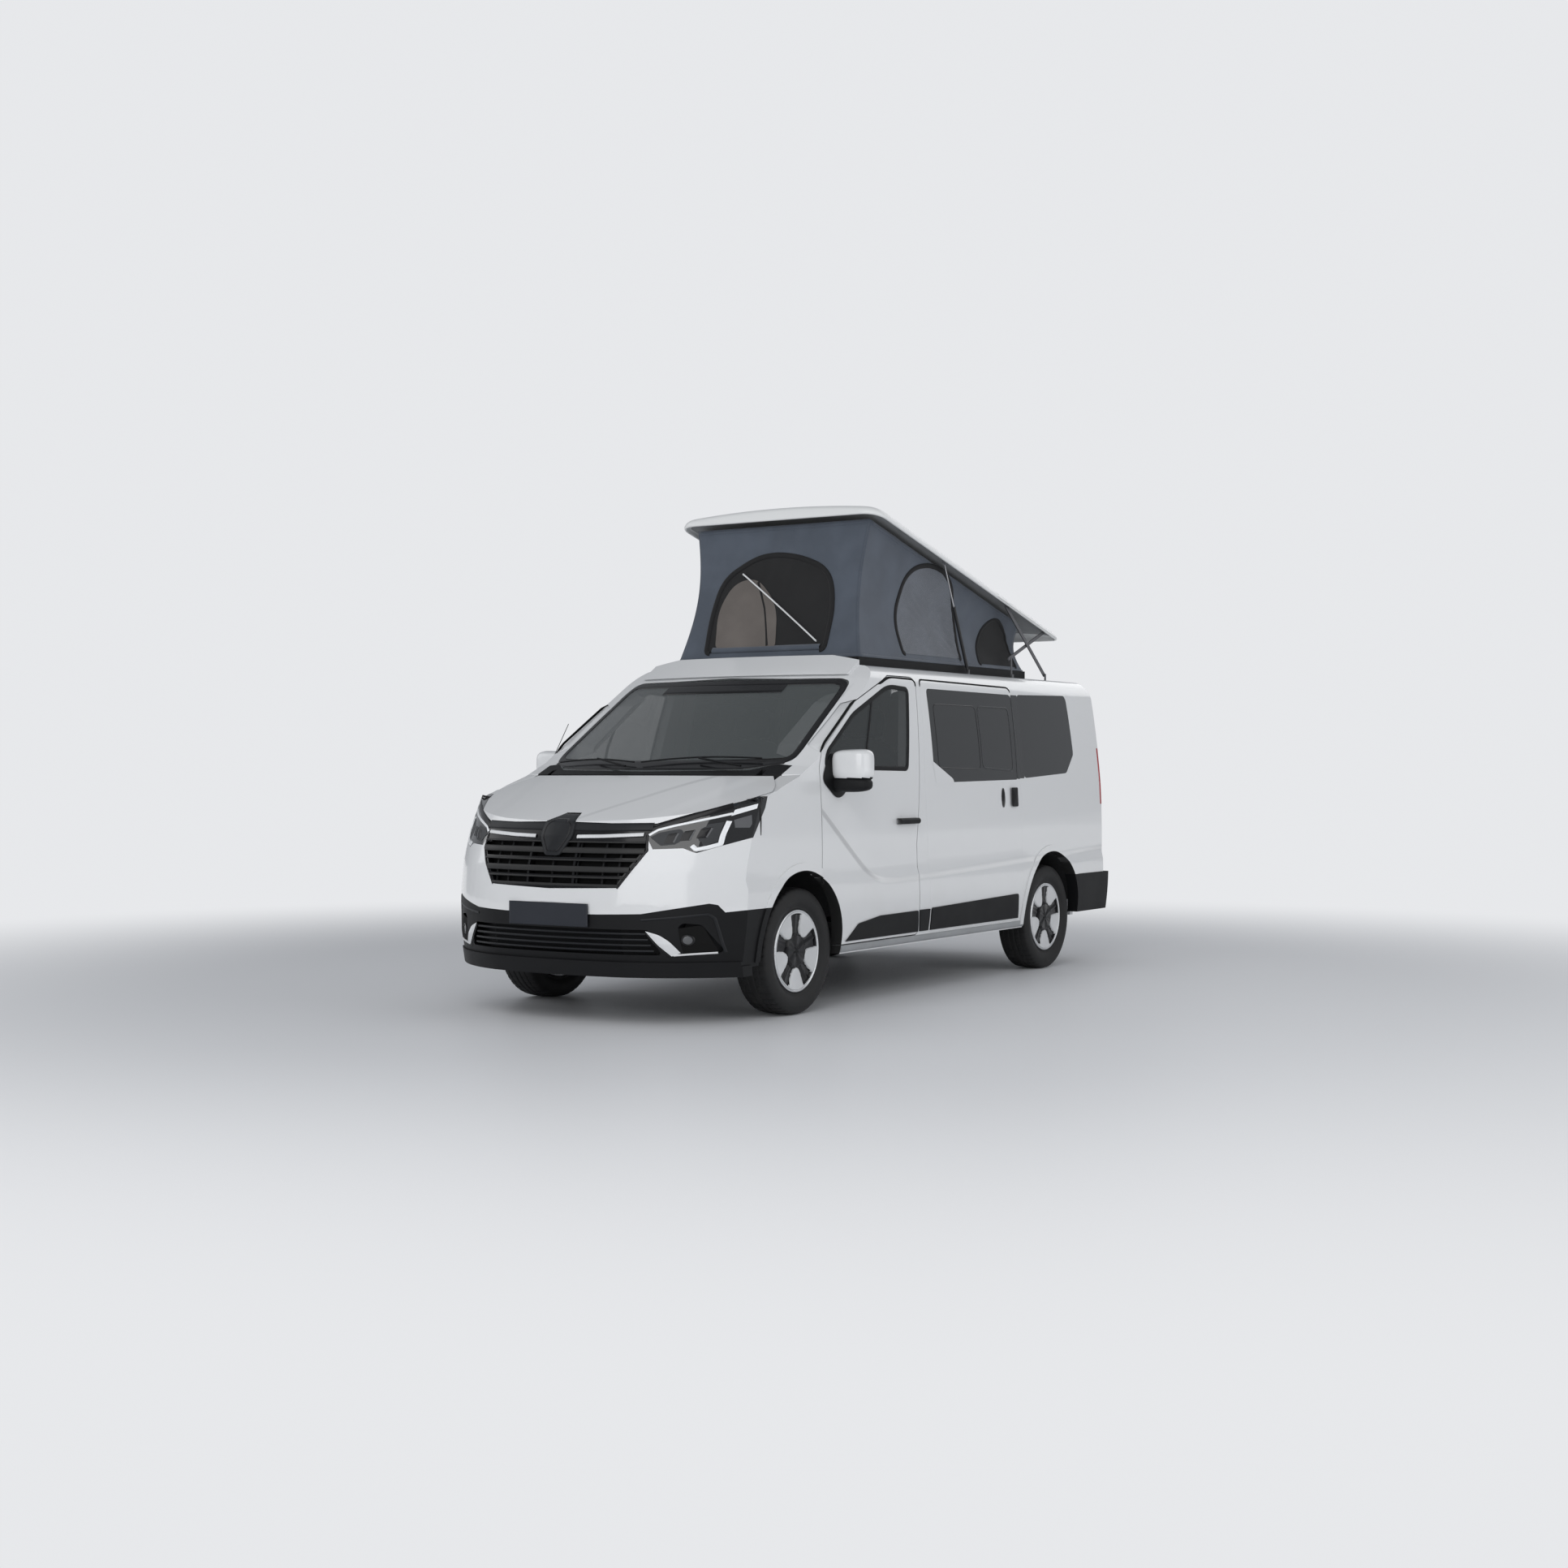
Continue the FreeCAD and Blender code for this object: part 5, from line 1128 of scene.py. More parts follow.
    def seams(self) -> None:
        """Sewn corner seams, the hem on the rail and the head under the roof."""
        for side in Side:
            corner = 1.0 if side is Side.LEFT else 2.0
            seam = self.point(np.full(30, corner), np.linspace(0.0, 1.0, 30))
            self._fold(bar("corner_seam_" + side.word, "van", "canvas", seam, 0.0030))
        s = np.linspace(0, 4, 161)[:-1]
        for name, heights in (("hem", (0.0, 0.010, 0.022)), ("head", (0.965, 0.98, 0.998))):
            rows = np.stack([self.point(s, np.full(160, t)) for t in heights], 1)
            rows[..., :2] *= self.hem_out
            closed = (True, False)
            self._fold(put("tent_" + name, rows, "van", "canvas", closed, True, thick=0.002))

    def front(self) -> None:
        """The front wall's window, with its hanging flap, fold, strap and stay."""
        outline = [
            (0.395, 2.035, 0.03), (0.415, 2.30, 0.20), (0.36, 2.52, 0.22), (0.13, 2.62, 0.20),
            (-0.13, 2.64, 0.20), (-0.40, 2.50, 0.24), (-0.46, 2.28, 0.20), (-0.455, 2.035, 0.03),
        ]
        self.window("front_window", 1, -1, outline, "window_mesh", 0.032)
        place = self._on_wall(1, -1)
        flap = [
            (-0.392, 2.065, 0.03), (-0.420, 2.30, 0.16), (-0.32, 2.47, 0.12),
            (-0.16, 2.50, 0.12), (0.01, 2.33, 0.16), (0.046, 2.063, 0.02),
        ]
        shape = outlined(flap, 14, 90)
        self._fold(fill("front_flap", "van", "inner_panel", shape, place, 0.0085, 10, 0.002))
        hem = level(-0.41, 0.365, 2.052, 40)
        self._fold(
            band("front_fold", "van", "canvas", hem, 0.036, place, 0.006, 0.010, flip=True)
        )
        strap = resampled(np.array([(-0.145, 2.47), (-0.075, 2.30), (-0.015, 2.07)]), 24)
        self._fold(band("front_strap", "van", "zip_black", strap, 0.016, place, 0.009, flip=True))
        t = np.linspace(0, 1, 24)
        rod = place(-0.255 + 0.596 * t, 2.524 - 0.438 * t, 0.020)
        self._fold(bar("front_stay", "van", "bright_trim", rod, 0.0055))

    def build(self) -> None:
        wall = self.wall()
        self._fold(wall)
        self.front()
        low = [
            (0.115, 2.03, 0.02), (0.095, 2.25, 0.16), (0.26, 2.56, 0.20), (0.52, 2.61, 0.18),
            (0.78, 2.53, 0.2), (0.91, 2.26, 0.2), (0.885, 2.03, 0.02),
        ]
        aft = [
            (1.13, 2.01, 0.02), (1.16, 2.10, 0.10), (1.30, 2.27, 0.10), (1.44, 2.33, 0.08),
            (1.60, 2.24, 0.1), (1.68, 2.10, 0.05), (1.68, 2.01, 0.02),
        ]
        for side in Side:
            at = (0 if side is Side.LEFT else 2, side.value)
            self.window("side_window_" + side.word, *at, low, "pane_cloth", 0.030)
            self.window("rear_window_" + side.word, *at, aft, "window_mesh", 0.022)
        self.seams()
        [p for p in self.parts if p is not wall]


@dataclass
class RoofShell:
    """The raised roof: a moulded shell with a rolled rim, its lining and its pins."""

    half: float = 0.742
    front: float = -0.556
    rear: float = 2.005
    low: float = 1.960
    shut: Point2 = (1.238, 1.966)
    raised: Point2 = ROOF_PIN
    top: float = 2.007
    rise: float = 0.043
    edge: float = 0.055
    edge_drop: float = 0.040
    lip: float = 0.009
    thickness: float = 0.026
    lining_gap: float = 0.002
    pin_span: Point2 = (0.697, 0.730)

    def lifted(self, p: Array) -> Array:
        """Takes points of the closed roof to the raised one."""
        local = turned_x(p - np.array([0.0, *self.shut]), -ROOF_ANGLE)
        return local + np.array([0.0, *self.raised])

    def crown(self, x: Array) -> Array:
        """Height of the closed roof's top, a flat parabola across the van."""
        return self.top + self.rise * (1 - (x / 0.752) ** 2)

    def build(self) -> None:
        """The shell with a quarter ellipse at its rim, its inner face, lining and pins."""
        nose = self.half - 0.020
        plan = mirrored([(nose, self.front, 0.13), (self.half, self.rear, 0.047)])
        path = outlined(plan, 14, 280)
        along = np.roll(path, -1, 0) - np.roll(path, 1, 0)
        along /= np.linalg.norm(along, axis=1, keepdims=True)
        inward = np.stack([-along[:, 1], along[:, 0]], -1)
        middle = path.mean(0)

        def ring(
            inset: float, z: Optional[float] = None, drop: float = 0.0, share: float = 1.0
        ) -> Array:
            """One closed ring, drawn in from the rim."""
            p = middle + (path + inward * inset - middle) * share
            height = self.crown(p[:, 0]) - drop if z is None else np.full(len(p), z)
            return np.stack([p[:, 0], p[:, 1], height], -1)

        rings = [ring(self.edge, share=k) for k in np.linspace(0.0, 1.0, 14)]
        for a in np.linspace(0.15, math.pi / 2, 8):
            drop = self.edge_drop * (1 - math.cos(a))
            rings.append(ring(self.edge * (1 - math.sin(a)), drop=drop))
        for b in np.linspace(0.0, math.pi, 8):
            low = self.low + self.lip - self.lip * math.sin(b)
            rings.append(ring(self.lip * (1 - math.cos(b)), low))
        rings += [ring(0.018, 1.984), ring(0.075, drop=self.thickness)]
        rows = self.lifted(np.stack(rings))
        shell = put("roof_skin", rows, "roof", "roof_gelcoat", (False, True), True)
        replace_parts(shell, "roof_shell")
        drop = self.thickness + self.lining_gap
        lining = np.stack([ring(0.030, drop=drop, share=k) for k in np.linspace(0.0, 1.0, 12)])
        put("roof_lining", self.lifted(lining), "roof", "lining", (False, True), thick=0.002)
        for side in Side:
            x = np.linspace(*self.pin_span, 6) * side.value
            pin = np.stack([x, np.full(6, self.raised[0]), np.full(6, self.raised[1])], -1)
            bar("roof_pin_" + side.word, "roof", "grey_steel", pin, 0.0075, 14)


@dataclass
class Nose:
    """Grille, bare badge plinth, lamps, plate, lower intake and fog lamps."""

    lamp_line: Tuple[Tuple, ...] = (
        (0.524, 0.979), (0.566, 0.912, 0.006), (0.700, 0.918), (0.757, 0.894, 0.010),
        (0.900, 0.940, 0.02), (0.948, 0.965, 0.02), (0.950, 1.060, 0.02), (0.944, 1.172, 0.01),
        (0.856, 1.158), (0.728, 1.107), (0.560, 1.049, 0.010),
    )
    lamp_back: float = -1.97
    screen_depth: float = 0.050
    plate_size: Tuple[float, float, float] = (0.26, 0.509, 0.630)
    plate_out: float = 0.0075

    def _fill(
        self, side: Side, name: str, outline: Sequence[Tuple], lift: float, finish: str,
        dome: float = 0.002,
    ) -> None:
        """A filled shape on one side of the nose; its outline is given for the left side."""
        s = side.value
        path = outlined([(s * q[0], *q[1:]) for q in outline], 6, 96)
        fill(f"{name}_{side.word}", "van", finish, path, on_nose, lift, 8, dome, s < 0)

    def _line(
        self, side: Side, name: str, points: Sequence[Point2], width: float, lift: float,
        finish: str,
    ) -> None:
        """A band on one side of the nose; its path is given for the left side."""
        path = resampled(np.array(points) * (side.value, 1), 48)
        flip = side is Side.LEFT
        band(f"{name}_{side.word}", "van", finish, path, width, on_nose, lift, flip=flip)

    def grille(self) -> None:
        """Broad and thin slats, dark uprights behind them and bright strips."""
        slats = [
            (0.945, 0.009), (0.902, 0.030), (0.852, 0.010),
            (0.806, 0.030), (0.764, 0.010), (0.724, 0.014),
        ]
        for k, (z, height) in enumerate(slats):
            reach = float(np.interp(z, [0.70, 0.90, 1.0], [0.405, 0.532, 0.528]))
            line = level(-reach, reach, z, 40)
            name = f"grille_slat_{k}"
            band(name, "van", "slat_plastic", line, height, on_nose, 0.004, 0.003, flip=True)
        x, z = np.meshgrid(np.linspace(-0.53, 0.53, 60), np.linspace(0.71, 0.99, 24), indexing="ij")
        x = x * np.interp(z, [0.70, 0.90, 1.0], [0.76, 1.0, 1.0])
        rows = np.stack([x, HULL.nose_y(x, z) + self.screen_depth, z], -1)
        put("radiator_screen", rows, "van", "seal_rubber", thick=0.004)
        for k, x0 in enumerate([-0.403, -0.312, -0.157, 0.0, 0.157, 0.312, 0.403]):
            line = upright(x0, 0.722, 0.94, 24)
            band(f"grille_upright_{k}", "van", "black_plastic", line, 0.012, sunk(on_nose, 0.022), 0.004)
        for side in Side:
            for row in (
                ("grille_bright", [(0.137, 0.972), (0.30, 0.976), (0.513, 0.987)],
                 0.018, 0.007, "bright_trim"),
                ("grille_brow", [(0.10, 1.022), (0.30, 1.022), (0.545, 1.026)],
                 0.040, 0.001, "pod_plastic"),
                ("grille_cheek", [(0.528, 0.985), (0.540, 0.905), (0.500, 0.836), (0.412, 0.712)],
                 0.012, 0.002, "gloss_black"),
            ):
                self._line(side, *row)

    def plinth(self) -> None:
        """The bare plinth where a badge would stand, with its foot and rim."""
        edge = [(0.050, 1.082, 0.012), (0.100, 1.046, 0.018), (0.106, 0.972, 0.02), (0.046, 0.872, 0.016)]
        outline = outlined(mirrored(edge), 8, 120)
        rows = patch(outline, on_front, 0.008, 14, 0.010)
        foot = rows[-1] + np.array([0.0, 0.020, 0.0])
        rows = np.concatenate([rows, rows[-1:] * 0.25 + foot[None] * 0.75, foot[None]])
        put("badge_plinth", rows, "van", "pod_plastic", (False, True), False)
        inner = 0.78 * (outline - outline.mean(0)) + outline.mean(0)
        raised = sunk(on_front, -0.009)
        band("badge_rim", "van", "gloss_black", inner, 0.007, raised, 0.004, 0.002, True, True)

    def lamps(self) -> None:
        """Dark lamps with a grey tray and three modules, each with a grey streak painted on as a
        highlight.
        """

        def place(u: Array, v: Array, h: float) -> Array:
            """Puts (x, z) on the nose, but no further forward than the lamp's back."""
            return np.stack([u, np.maximum(HULL.nose_y(u, v), self.lamp_back) - h, v], -1)

        tray = [
            (0.545, 0.972), (0.579, 0.996), (0.700, 1.022), (0.838, 1.050),
            (0.832, 0.950), (0.775, 0.925), (0.735, 0.943), (0.600, 0.930),
        ]
        offsets = [(-0.026, -0.018), (0.020, -0.014), (0.030, 0.040), (-0.016, 0.032)]
        for side in Side:
            s = side.value
            path = outlined([(s * q[0], *q[1:]) for q in self.lamp_line], 6, 150)
            name, flip = "lamp_bezel_" + side.word, side is Side.LEFT
            band(name, "van", "gloss_black", path, 0.010, place, 0.001, 0.001, True, flip)
            self._fill(side, "lamp_tray", tray, 0.0008, "lamp_inner", 0.0006)
            for k, x in enumerate((0.640, 0.706, 0.772)):
                z = 0.958 + 0.20 * (x - 0.640)
                cell = [(x + dx, z + dz, 0.006) for dx, dz in offsets]
                self._fill(side, f"lamp_module_{k}", cell, 0.002, "gloss_black")
                # Painted highlight: a thin grey streak on each module stands for the glint of light on its
                # lens.
                glint_line = [(x + 0.016, z - 0.012), (x + 0.028, z + 0.036)]
                self._line(side, f"lamp_facet_{k}", glint_line, 0.007, 0.004, "lamp_grey")
            self._lamp_strips(side)

    def _lamp_strips(self, side: Side) -> None:
        """One lamp's dark lid, bright brow strip, tip, bent strip and outer cell."""
        lid = [
            (0.546, 1.010), (0.600, 1.036), (0.660, 1.058),
            (0.728, 1.084), (0.800, 1.110), (0.856, 1.132),
        ]
        brow = [
            (0.537, 0.984), (0.572, 1.010), (0.640, 1.031),
            (0.720, 1.052), (0.800, 1.074), (0.862, 1.093),
        ]
        tip = [(0.866, 1.112), (0.942, 1.143), (0.942, 1.118), (0.858, 1.080)]
        hook = [
            (0.856, 1.055), (0.848, 0.990), (0.846, 0.938),
            (0.800, 0.921), (0.755, 0.910), (0.735, 0.930),
        ]
        outer = [(0.872, 1.060), (0.930, 1.085), (0.940, 1.040), (0.936, 1.020), (0.884, 1.020)]
        self._line(side, "lamp_lid", lid, 0.034, 0.001, "gloss_black")
        self._line(side, "lamp_brow", brow, 0.0125, 0.003, "lamp_strip")
        self._fill(side, "lamp_tip", tip, 0.003, "lamp_strip", 0.001)
        self._line(side, "lamp_hook", hook, 0.020, 0.003, "lamp_strip")
        self._fill(side, "lamp_outer", outer, 0.001, "lamp_grey", 0.001)

    def plate(self) -> None:
        """A blank front plate in its recess, with a thin raised border."""
        half, low, high = self.plate_size
        x, z = np.meshgrid(np.linspace(-half, half, 40), np.linspace(low, high, 14), indexing="ij")
        inside = np.minimum(half - np.abs(x), np.minimum(z - low, high - z))
        border = (inside < 0.004) * 0.0012
        rows = np.stack([x, HULL.front + self.plate_out - border, z], -1)
        put("front_plate", rows, "van", "plate_blank", thick=0.004)

    def intake(self) -> None:
        """Lower intake slats, pod facets, bright fog blades and fog lamps."""
        for k, z in enumerate(np.linspace(0.392, 0.480, 4)):
            reach = float(np.interp(z, [0.37, 0.50], [0.60, 0.55]))
            line = level(-reach, reach, z, 40)
            name, place = f"intake_slat_{k}", sunk(on_nose, 0.012)
            band(name, "van", "pod_plastic", line, 0.012, place, 0.006, 0.004, flip=True)
        pocket = [(0.652, 0.500, 0.01), (0.803, 0.527, 0.02), (0.860, 0.392, 0.01), (0.715, 0.385, 0.01)]
        blade = [
            (0.562, 0.496), (0.625, 0.476, 0.02), (0.672, 0.440, 0.02),
            (0.712, 0.384), (0.672, 0.367), (0.618, 0.424, 0.01),
        ]
        crease = [
            (0.54, 0.552), (0.70, 0.566), (0.826, 0.582),
            (0.850, 0.560), (0.866, 0.480), (0.884, 0.385),
        ]
        for side in Side:
            self._fill(side, "fog_pocket", pocket, 0.0005, "seal_rubber", 0.0)
            self._fill(side, "fog_blade", blade, 0.006, "bright_trim", 0.003)
            for row in (
                ("fog_sill", [(0.680, 0.371), (0.76, 0.378), (0.858, 0.384)],
                 0.010, 0.006, "bright_trim"),
                ("fog_blade_side", [(0.560, 0.490), (0.612, 0.418), (0.668, 0.360)],
                 0.010, 0.002, "gloss_black"),
                ("pod_crease", crease, 0.012, 0.001, "pod_plastic"),
            ):
                self._line(side, *row)
            ring = circle(0.744, 0.450, 0.024, 0.025, 40) * (side.value, 1)
            left, tag = side is Side.LEFT, side.word
            fill("fog_lamp_" + tag, "van", "lamp_grey", ring, on_nose, 0.002, 8, 0.004, not left)
            band("fog_ring_" + tag, "van", "gloss_black", ring, 0.008, on_nose, 0.004, 0.003, True, left)

    def build(self) -> None:
        """Builds the nose's details."""
        self.grille()
        self.plinth()
        self.lamps()
        self.plate()
        self.intake()


@dataclass
class GapSealsAndShade:
    """Dark bands down in the gaps between the panels: rubber seals, darkened further as painted shade in
    the gaps.
    """

    depth: float = 0.0045

    def _gap(
        self, name: str, path: Array, place: Place, closed: bool, flip: bool, width: float = 0.013
    ) -> None:
        """A dark band just under the surface, part seal and part painted shade."""
        # Painted shade: the dark band stands for the shadow deep in the gap as well as for the rubber seal
        # there.
        under = sunk(place, self.depth)
        band(name, "van", "seal_rubber", path, width, under, 0.001, 0.0005, closed, flip)

    def build(self) -> None:
        """Lays the bands round the doors, the sliding door and the tailgate."""
        door = [
            (-0.264, 0.352, 0.03), (-0.298, 0.880), (-0.148, 1.856, 0.04), (-0.455, 1.860, 0.06),
            (-0.930, 1.688), (-1.300, 1.448, 0.06), (-1.355, 1.330, 0.03), (-1.355, 0.700),
        ]
        slide = [
            (1.110, 0.352, 0.06), (1.110, 1.846, 0.05), (-0.096, 1.858, 0.04),
            (-0.172, 1.200), (-0.132, 0.352, 0.03),
        ]
        tail = [(0.790, 0.640, 0.04), (0.800, 1.10), (0.770, 1.50), (0.706, 1.888, 0.06)]
        for side in Side:
            path = outlined(door, 8, 220, False)
            self._gap("door_gap_" + side.word, path, on_side(side), False, side is Side.RIGHT)
        self._gap("slide_gap", outlined(slide, 8, 260), on_side(Side.LEFT), True, False, 0.010)
        self._gap("tailgate_gap", outlined(mirrored(tail), 8, 260), on_tail, True, True)


@dataclass
class Tail:
    """Plate recess, handle, wiper, high lamp and lamp bands at the rear."""

    body: str = "tailgate"
    corner_y: float = 2.364
    lamp_x: float = 0.858
    lamp_depth: float = 0.0475

    def gate(self) -> None:
        """The tailgate's plate, handle, high lamp, glass border and wiper."""
        panel = outlined(oblong(0.0, 0.30, 0.80, 0.955, 0.02), 6, 120)
        fill("plate_recess", self.body, "pod_plastic", panel, on_tail, 0.0004, flip=True)
        plate = outlined(oblong(0.0, 0.255, 0.820, 0.930, 0.006), 4, 100)
        fill("rear_plate", self.body, "plate_blank", plate, on_tail, 0.0030, flip=True)
        grip = level(-0.22, 0.22, 0.975, 30)
        band("tail_grip", self.body, "gloss_black", grip, 0.030, on_tail, 0.004, 0.008)
        stop = level(-0.16, 0.16, 1.842, 30)
        band("stop_lamp", self.body, "red_lens", stop, 0.022, on_tail, 0.003, 0.003)
        edge = outlined(mirrored([(0.682, 1.238, 0.06), (0.626, 1.774, 0.06)]), 10, 200)
        looks = ("tail_glass_border", self.body, "gloss_black")
        band(*looks, edge, 0.034, on_tail, 0.0008, 0.0006, True, True)
        arm = np.array([(0.0, 1.262), (0.16, 1.285), (0.36, 1.30), (0.52, 1.305)])
        points = on_tail(*resampled(arm, 24).T, 0.018)
        bar("tail_wiper", self.body, "black_plastic", points, 0.008)
        hub = (0.06, 0.03, 0.06), (0.0, 2.440, 1.262)
        block("tail_wiper_hub", self.body, "black_plastic", *hub, 3.0, 12)

    def lamps(self) -> None:
        """The lens on each rear corner and the bands across each lamp."""
        bands = (
            ("turn", 1.20, 1.27, "lamp_strip"), ("ridge", 1.345, 1.352, "gloss_black"),
            ("reverse", 1.10, 1.15, "lamp_strip"),
        )
        for side in Side:
            line, name = upright(self.corner_y, 1.080, 1.466, 20), "tail_lens_" + side.word
            left = side is Side.LEFT
            band(name, "van", "red_lens", line, 0.020, on_side(side), 0.0015, flip=left)
            for part, low, high, finish in bands:
                line = upright(side.value * self.lamp_x, low, high, 12)
                name, place = f"tail_{part}_{side.word}", sunk(on_tail, self.lamp_depth)
                band(name, "van", finish, line, 0.060, place, 0.001, 0.001)

    def build(self) -> None:
        """Builds the rear's details."""
        self.gate()
        self.lamps()


@dataclass
class Glazing:
    """Black borders, seals and frames round the glass, and the wipers."""

    def screen(self) -> None:
        """The windscreen's black border, its foot and its upper shade band."""
        edge = [
            (0.806, 1.376, 0.05), (0.758, 1.826, 0.07), (-0.758, 1.826, 0.07),
            (-0.806, 1.376, 0.05), (-0.60, 1.336, 0.1), (0.60, 1.336, 0.1),
        ]
        foot = level(-0.785, 0.785, 1.350, 60)
        foot[:, 1] += 0.016 * np.linspace(-1, 1, 60) ** 2
        for name, path, width, lift, closed in (
            ("border", outlined(edge, 8, 260), 0.036, 0.0012, True),
            ("foot", foot, 0.034, 0.0012, False),
            ("band", level(-0.42, 0.42, 1.792, 40), 0.06, 0.0010, False),
        ):
            band("screen_" + name, "van", "gloss_black", path, width, on_screen, lift, 0.0004, closed)

    def side(self) -> None:
        """Seals and sliding panes on both sides."""
        window = [
            (-0.372, 1.323, 0.03), (-0.259, 1.792, 0.03), (-0.488, 1.803, 0.08),
            (-0.933, 1.629, 0.05), (-1.262, 1.412, 0.04), (-1.290, 1.335, 0.03),
        ]
        sail = [
            (-1.290, 1.350, 0.02), (-1.225, 1.410, 0.02), (-1.09, 1.370, 0.03),
            (-1.075, 1.20, 0.08), (-1.19, 1.150, 0.06), (-1.345, 1.26, 0.06),
        ]
        post = resampled(np.array([(-0.839, 1.34), (-0.82, 1.45), (-0.70, 1.72)]), 24)
        slide = [(0.60, 1.33, 0.04), (1.02, 1.31, 0.04), (1.04, 1.712, 0.04), (0.61, 1.712, 0.04)]
        fixed = [(0.02, 1.33, 0.04), (0.57, 1.32, 0.04), (0.58, 1.712, 0.04), (0.03, 1.712, 0.04)]
        rows = (
            ("door_seal", "door", "black_plastic", outlined(window, 10, 200), 0.026, 0.0015, 0.002, True),
            ("door_post", "door", "black_plastic", post, 0.016, 0.002, 0.001, False),
            ("mirror_sail", "door", "black_plastic", corners(sail, 8), 0.0, 0.004, 0.010, True),
            ("pane_frame", "van", "lamp_inner", outlined(slide, 8, 120), 0.010, 0.0012, 0.001, True),
            ("pane_print", "van", "gloss_black", outlined(fixed, 8, 120), 0.006, 0.0008, 0.0006, True),
        )
        for side in Side:
            place, flip = on_side(side), side is Side.LEFT
            for name, on, finish, path, width, lift, rise, closed in rows:
                body = "door_" + side.word if on == "door" else on
                full = f"{name}_{side.word}"
                if width:
                    band(full, body, finish, path, width, place, lift, rise, closed, flip)
                else:
                    fill(full, body, finish, path, place, lift, 8, rise, flip)

    def posts(self) -> None:
        """Black glass over the posts between the side windows, parted at the sliding door."""
        ends = [(1.176, 1.262, 0.01), (1.203, 1.800, 0.01)]
        quads = {
            "left_front": [(1.068, 1.258, 0.01), (1.1092, 1.258), (1.1092, 1.800), (1.106, 1.800, 0.01)],
            "left_rear": [(1.1108, 1.262), *ends, (1.1108, 1.800)],
            "right": [(1.068, 1.258, 0.01), *ends, (1.106, 1.800, 0.01)],
        }
        for name, outline in quads.items():
            right = name == "right"
            place = on_side(Side.RIGHT if right else Side.LEFT)
            path = outlined(outline, 5, 120)
            fill("window_post_" + name, "van", "tinted_glass", path, place, 0.0011, flip=right)

    def trims(self) -> None:
        """Painted panels over the windows' slanting front corners, and grey sill strips that paint the
        shade along the sills.
        """
        outline = [
            (-0.060, 1.372), (-0.036, 1.362), (0.190, 1.262, 0.05), (0.200, 1.232), (-0.030, 1.232, 0.02),
        ]
        path = outlined(outline, 6, 120)
        for side in Side:
            name, right = "window_corner_" + side.word, side is Side.RIGHT
            fill(name, "van", "side_paint", path, on_side(side), 0.0010, 10, flip=right)
        for side in Side:
            # Painted shade: a grey strip where the white sill falls into shadow.
            line, name = level(-1.14, 1.16, 0.326, 60), "sill_shade_strip_" + side.word
            left = side is Side.LEFT
            band(name, "van", "sill_shade_grey", line, 0.040, on_side(side), 0.0012, 0.004, flip=left)

    def wipers(self) -> None:
        """Two wipers on the lower windscreen, parked."""
        for k, (x0, x1, pivot) in enumerate([(-0.72, -0.10, -0.12), (-0.05, 0.66, 0.60)]):
            t = np.linspace(0, 1, 40)
            z = 1.345 + 0.016 * np.sin(math.pi * t) + 0.02 * k * t
            blade = on_screen(np.linspace(x0, x1, 40), z, 0.020)
            bar(f"wiper_blade_{k}", "van", "black_plastic", blade, 0.0045)
            x, z = np.linspace(pivot, (x0 + x1) / 2, 20), np.linspace(1.318, 1.362, 20)
            bar(f"wiper_arm_{k}", "van", "black_plastic", on_screen(x, z, 0.026), 0.0055)

    def build(self) -> None:
        """Builds the glazing's details."""
        self.screen()
        self.side()
        self.posts()
        self.trims()
        self.wipers()


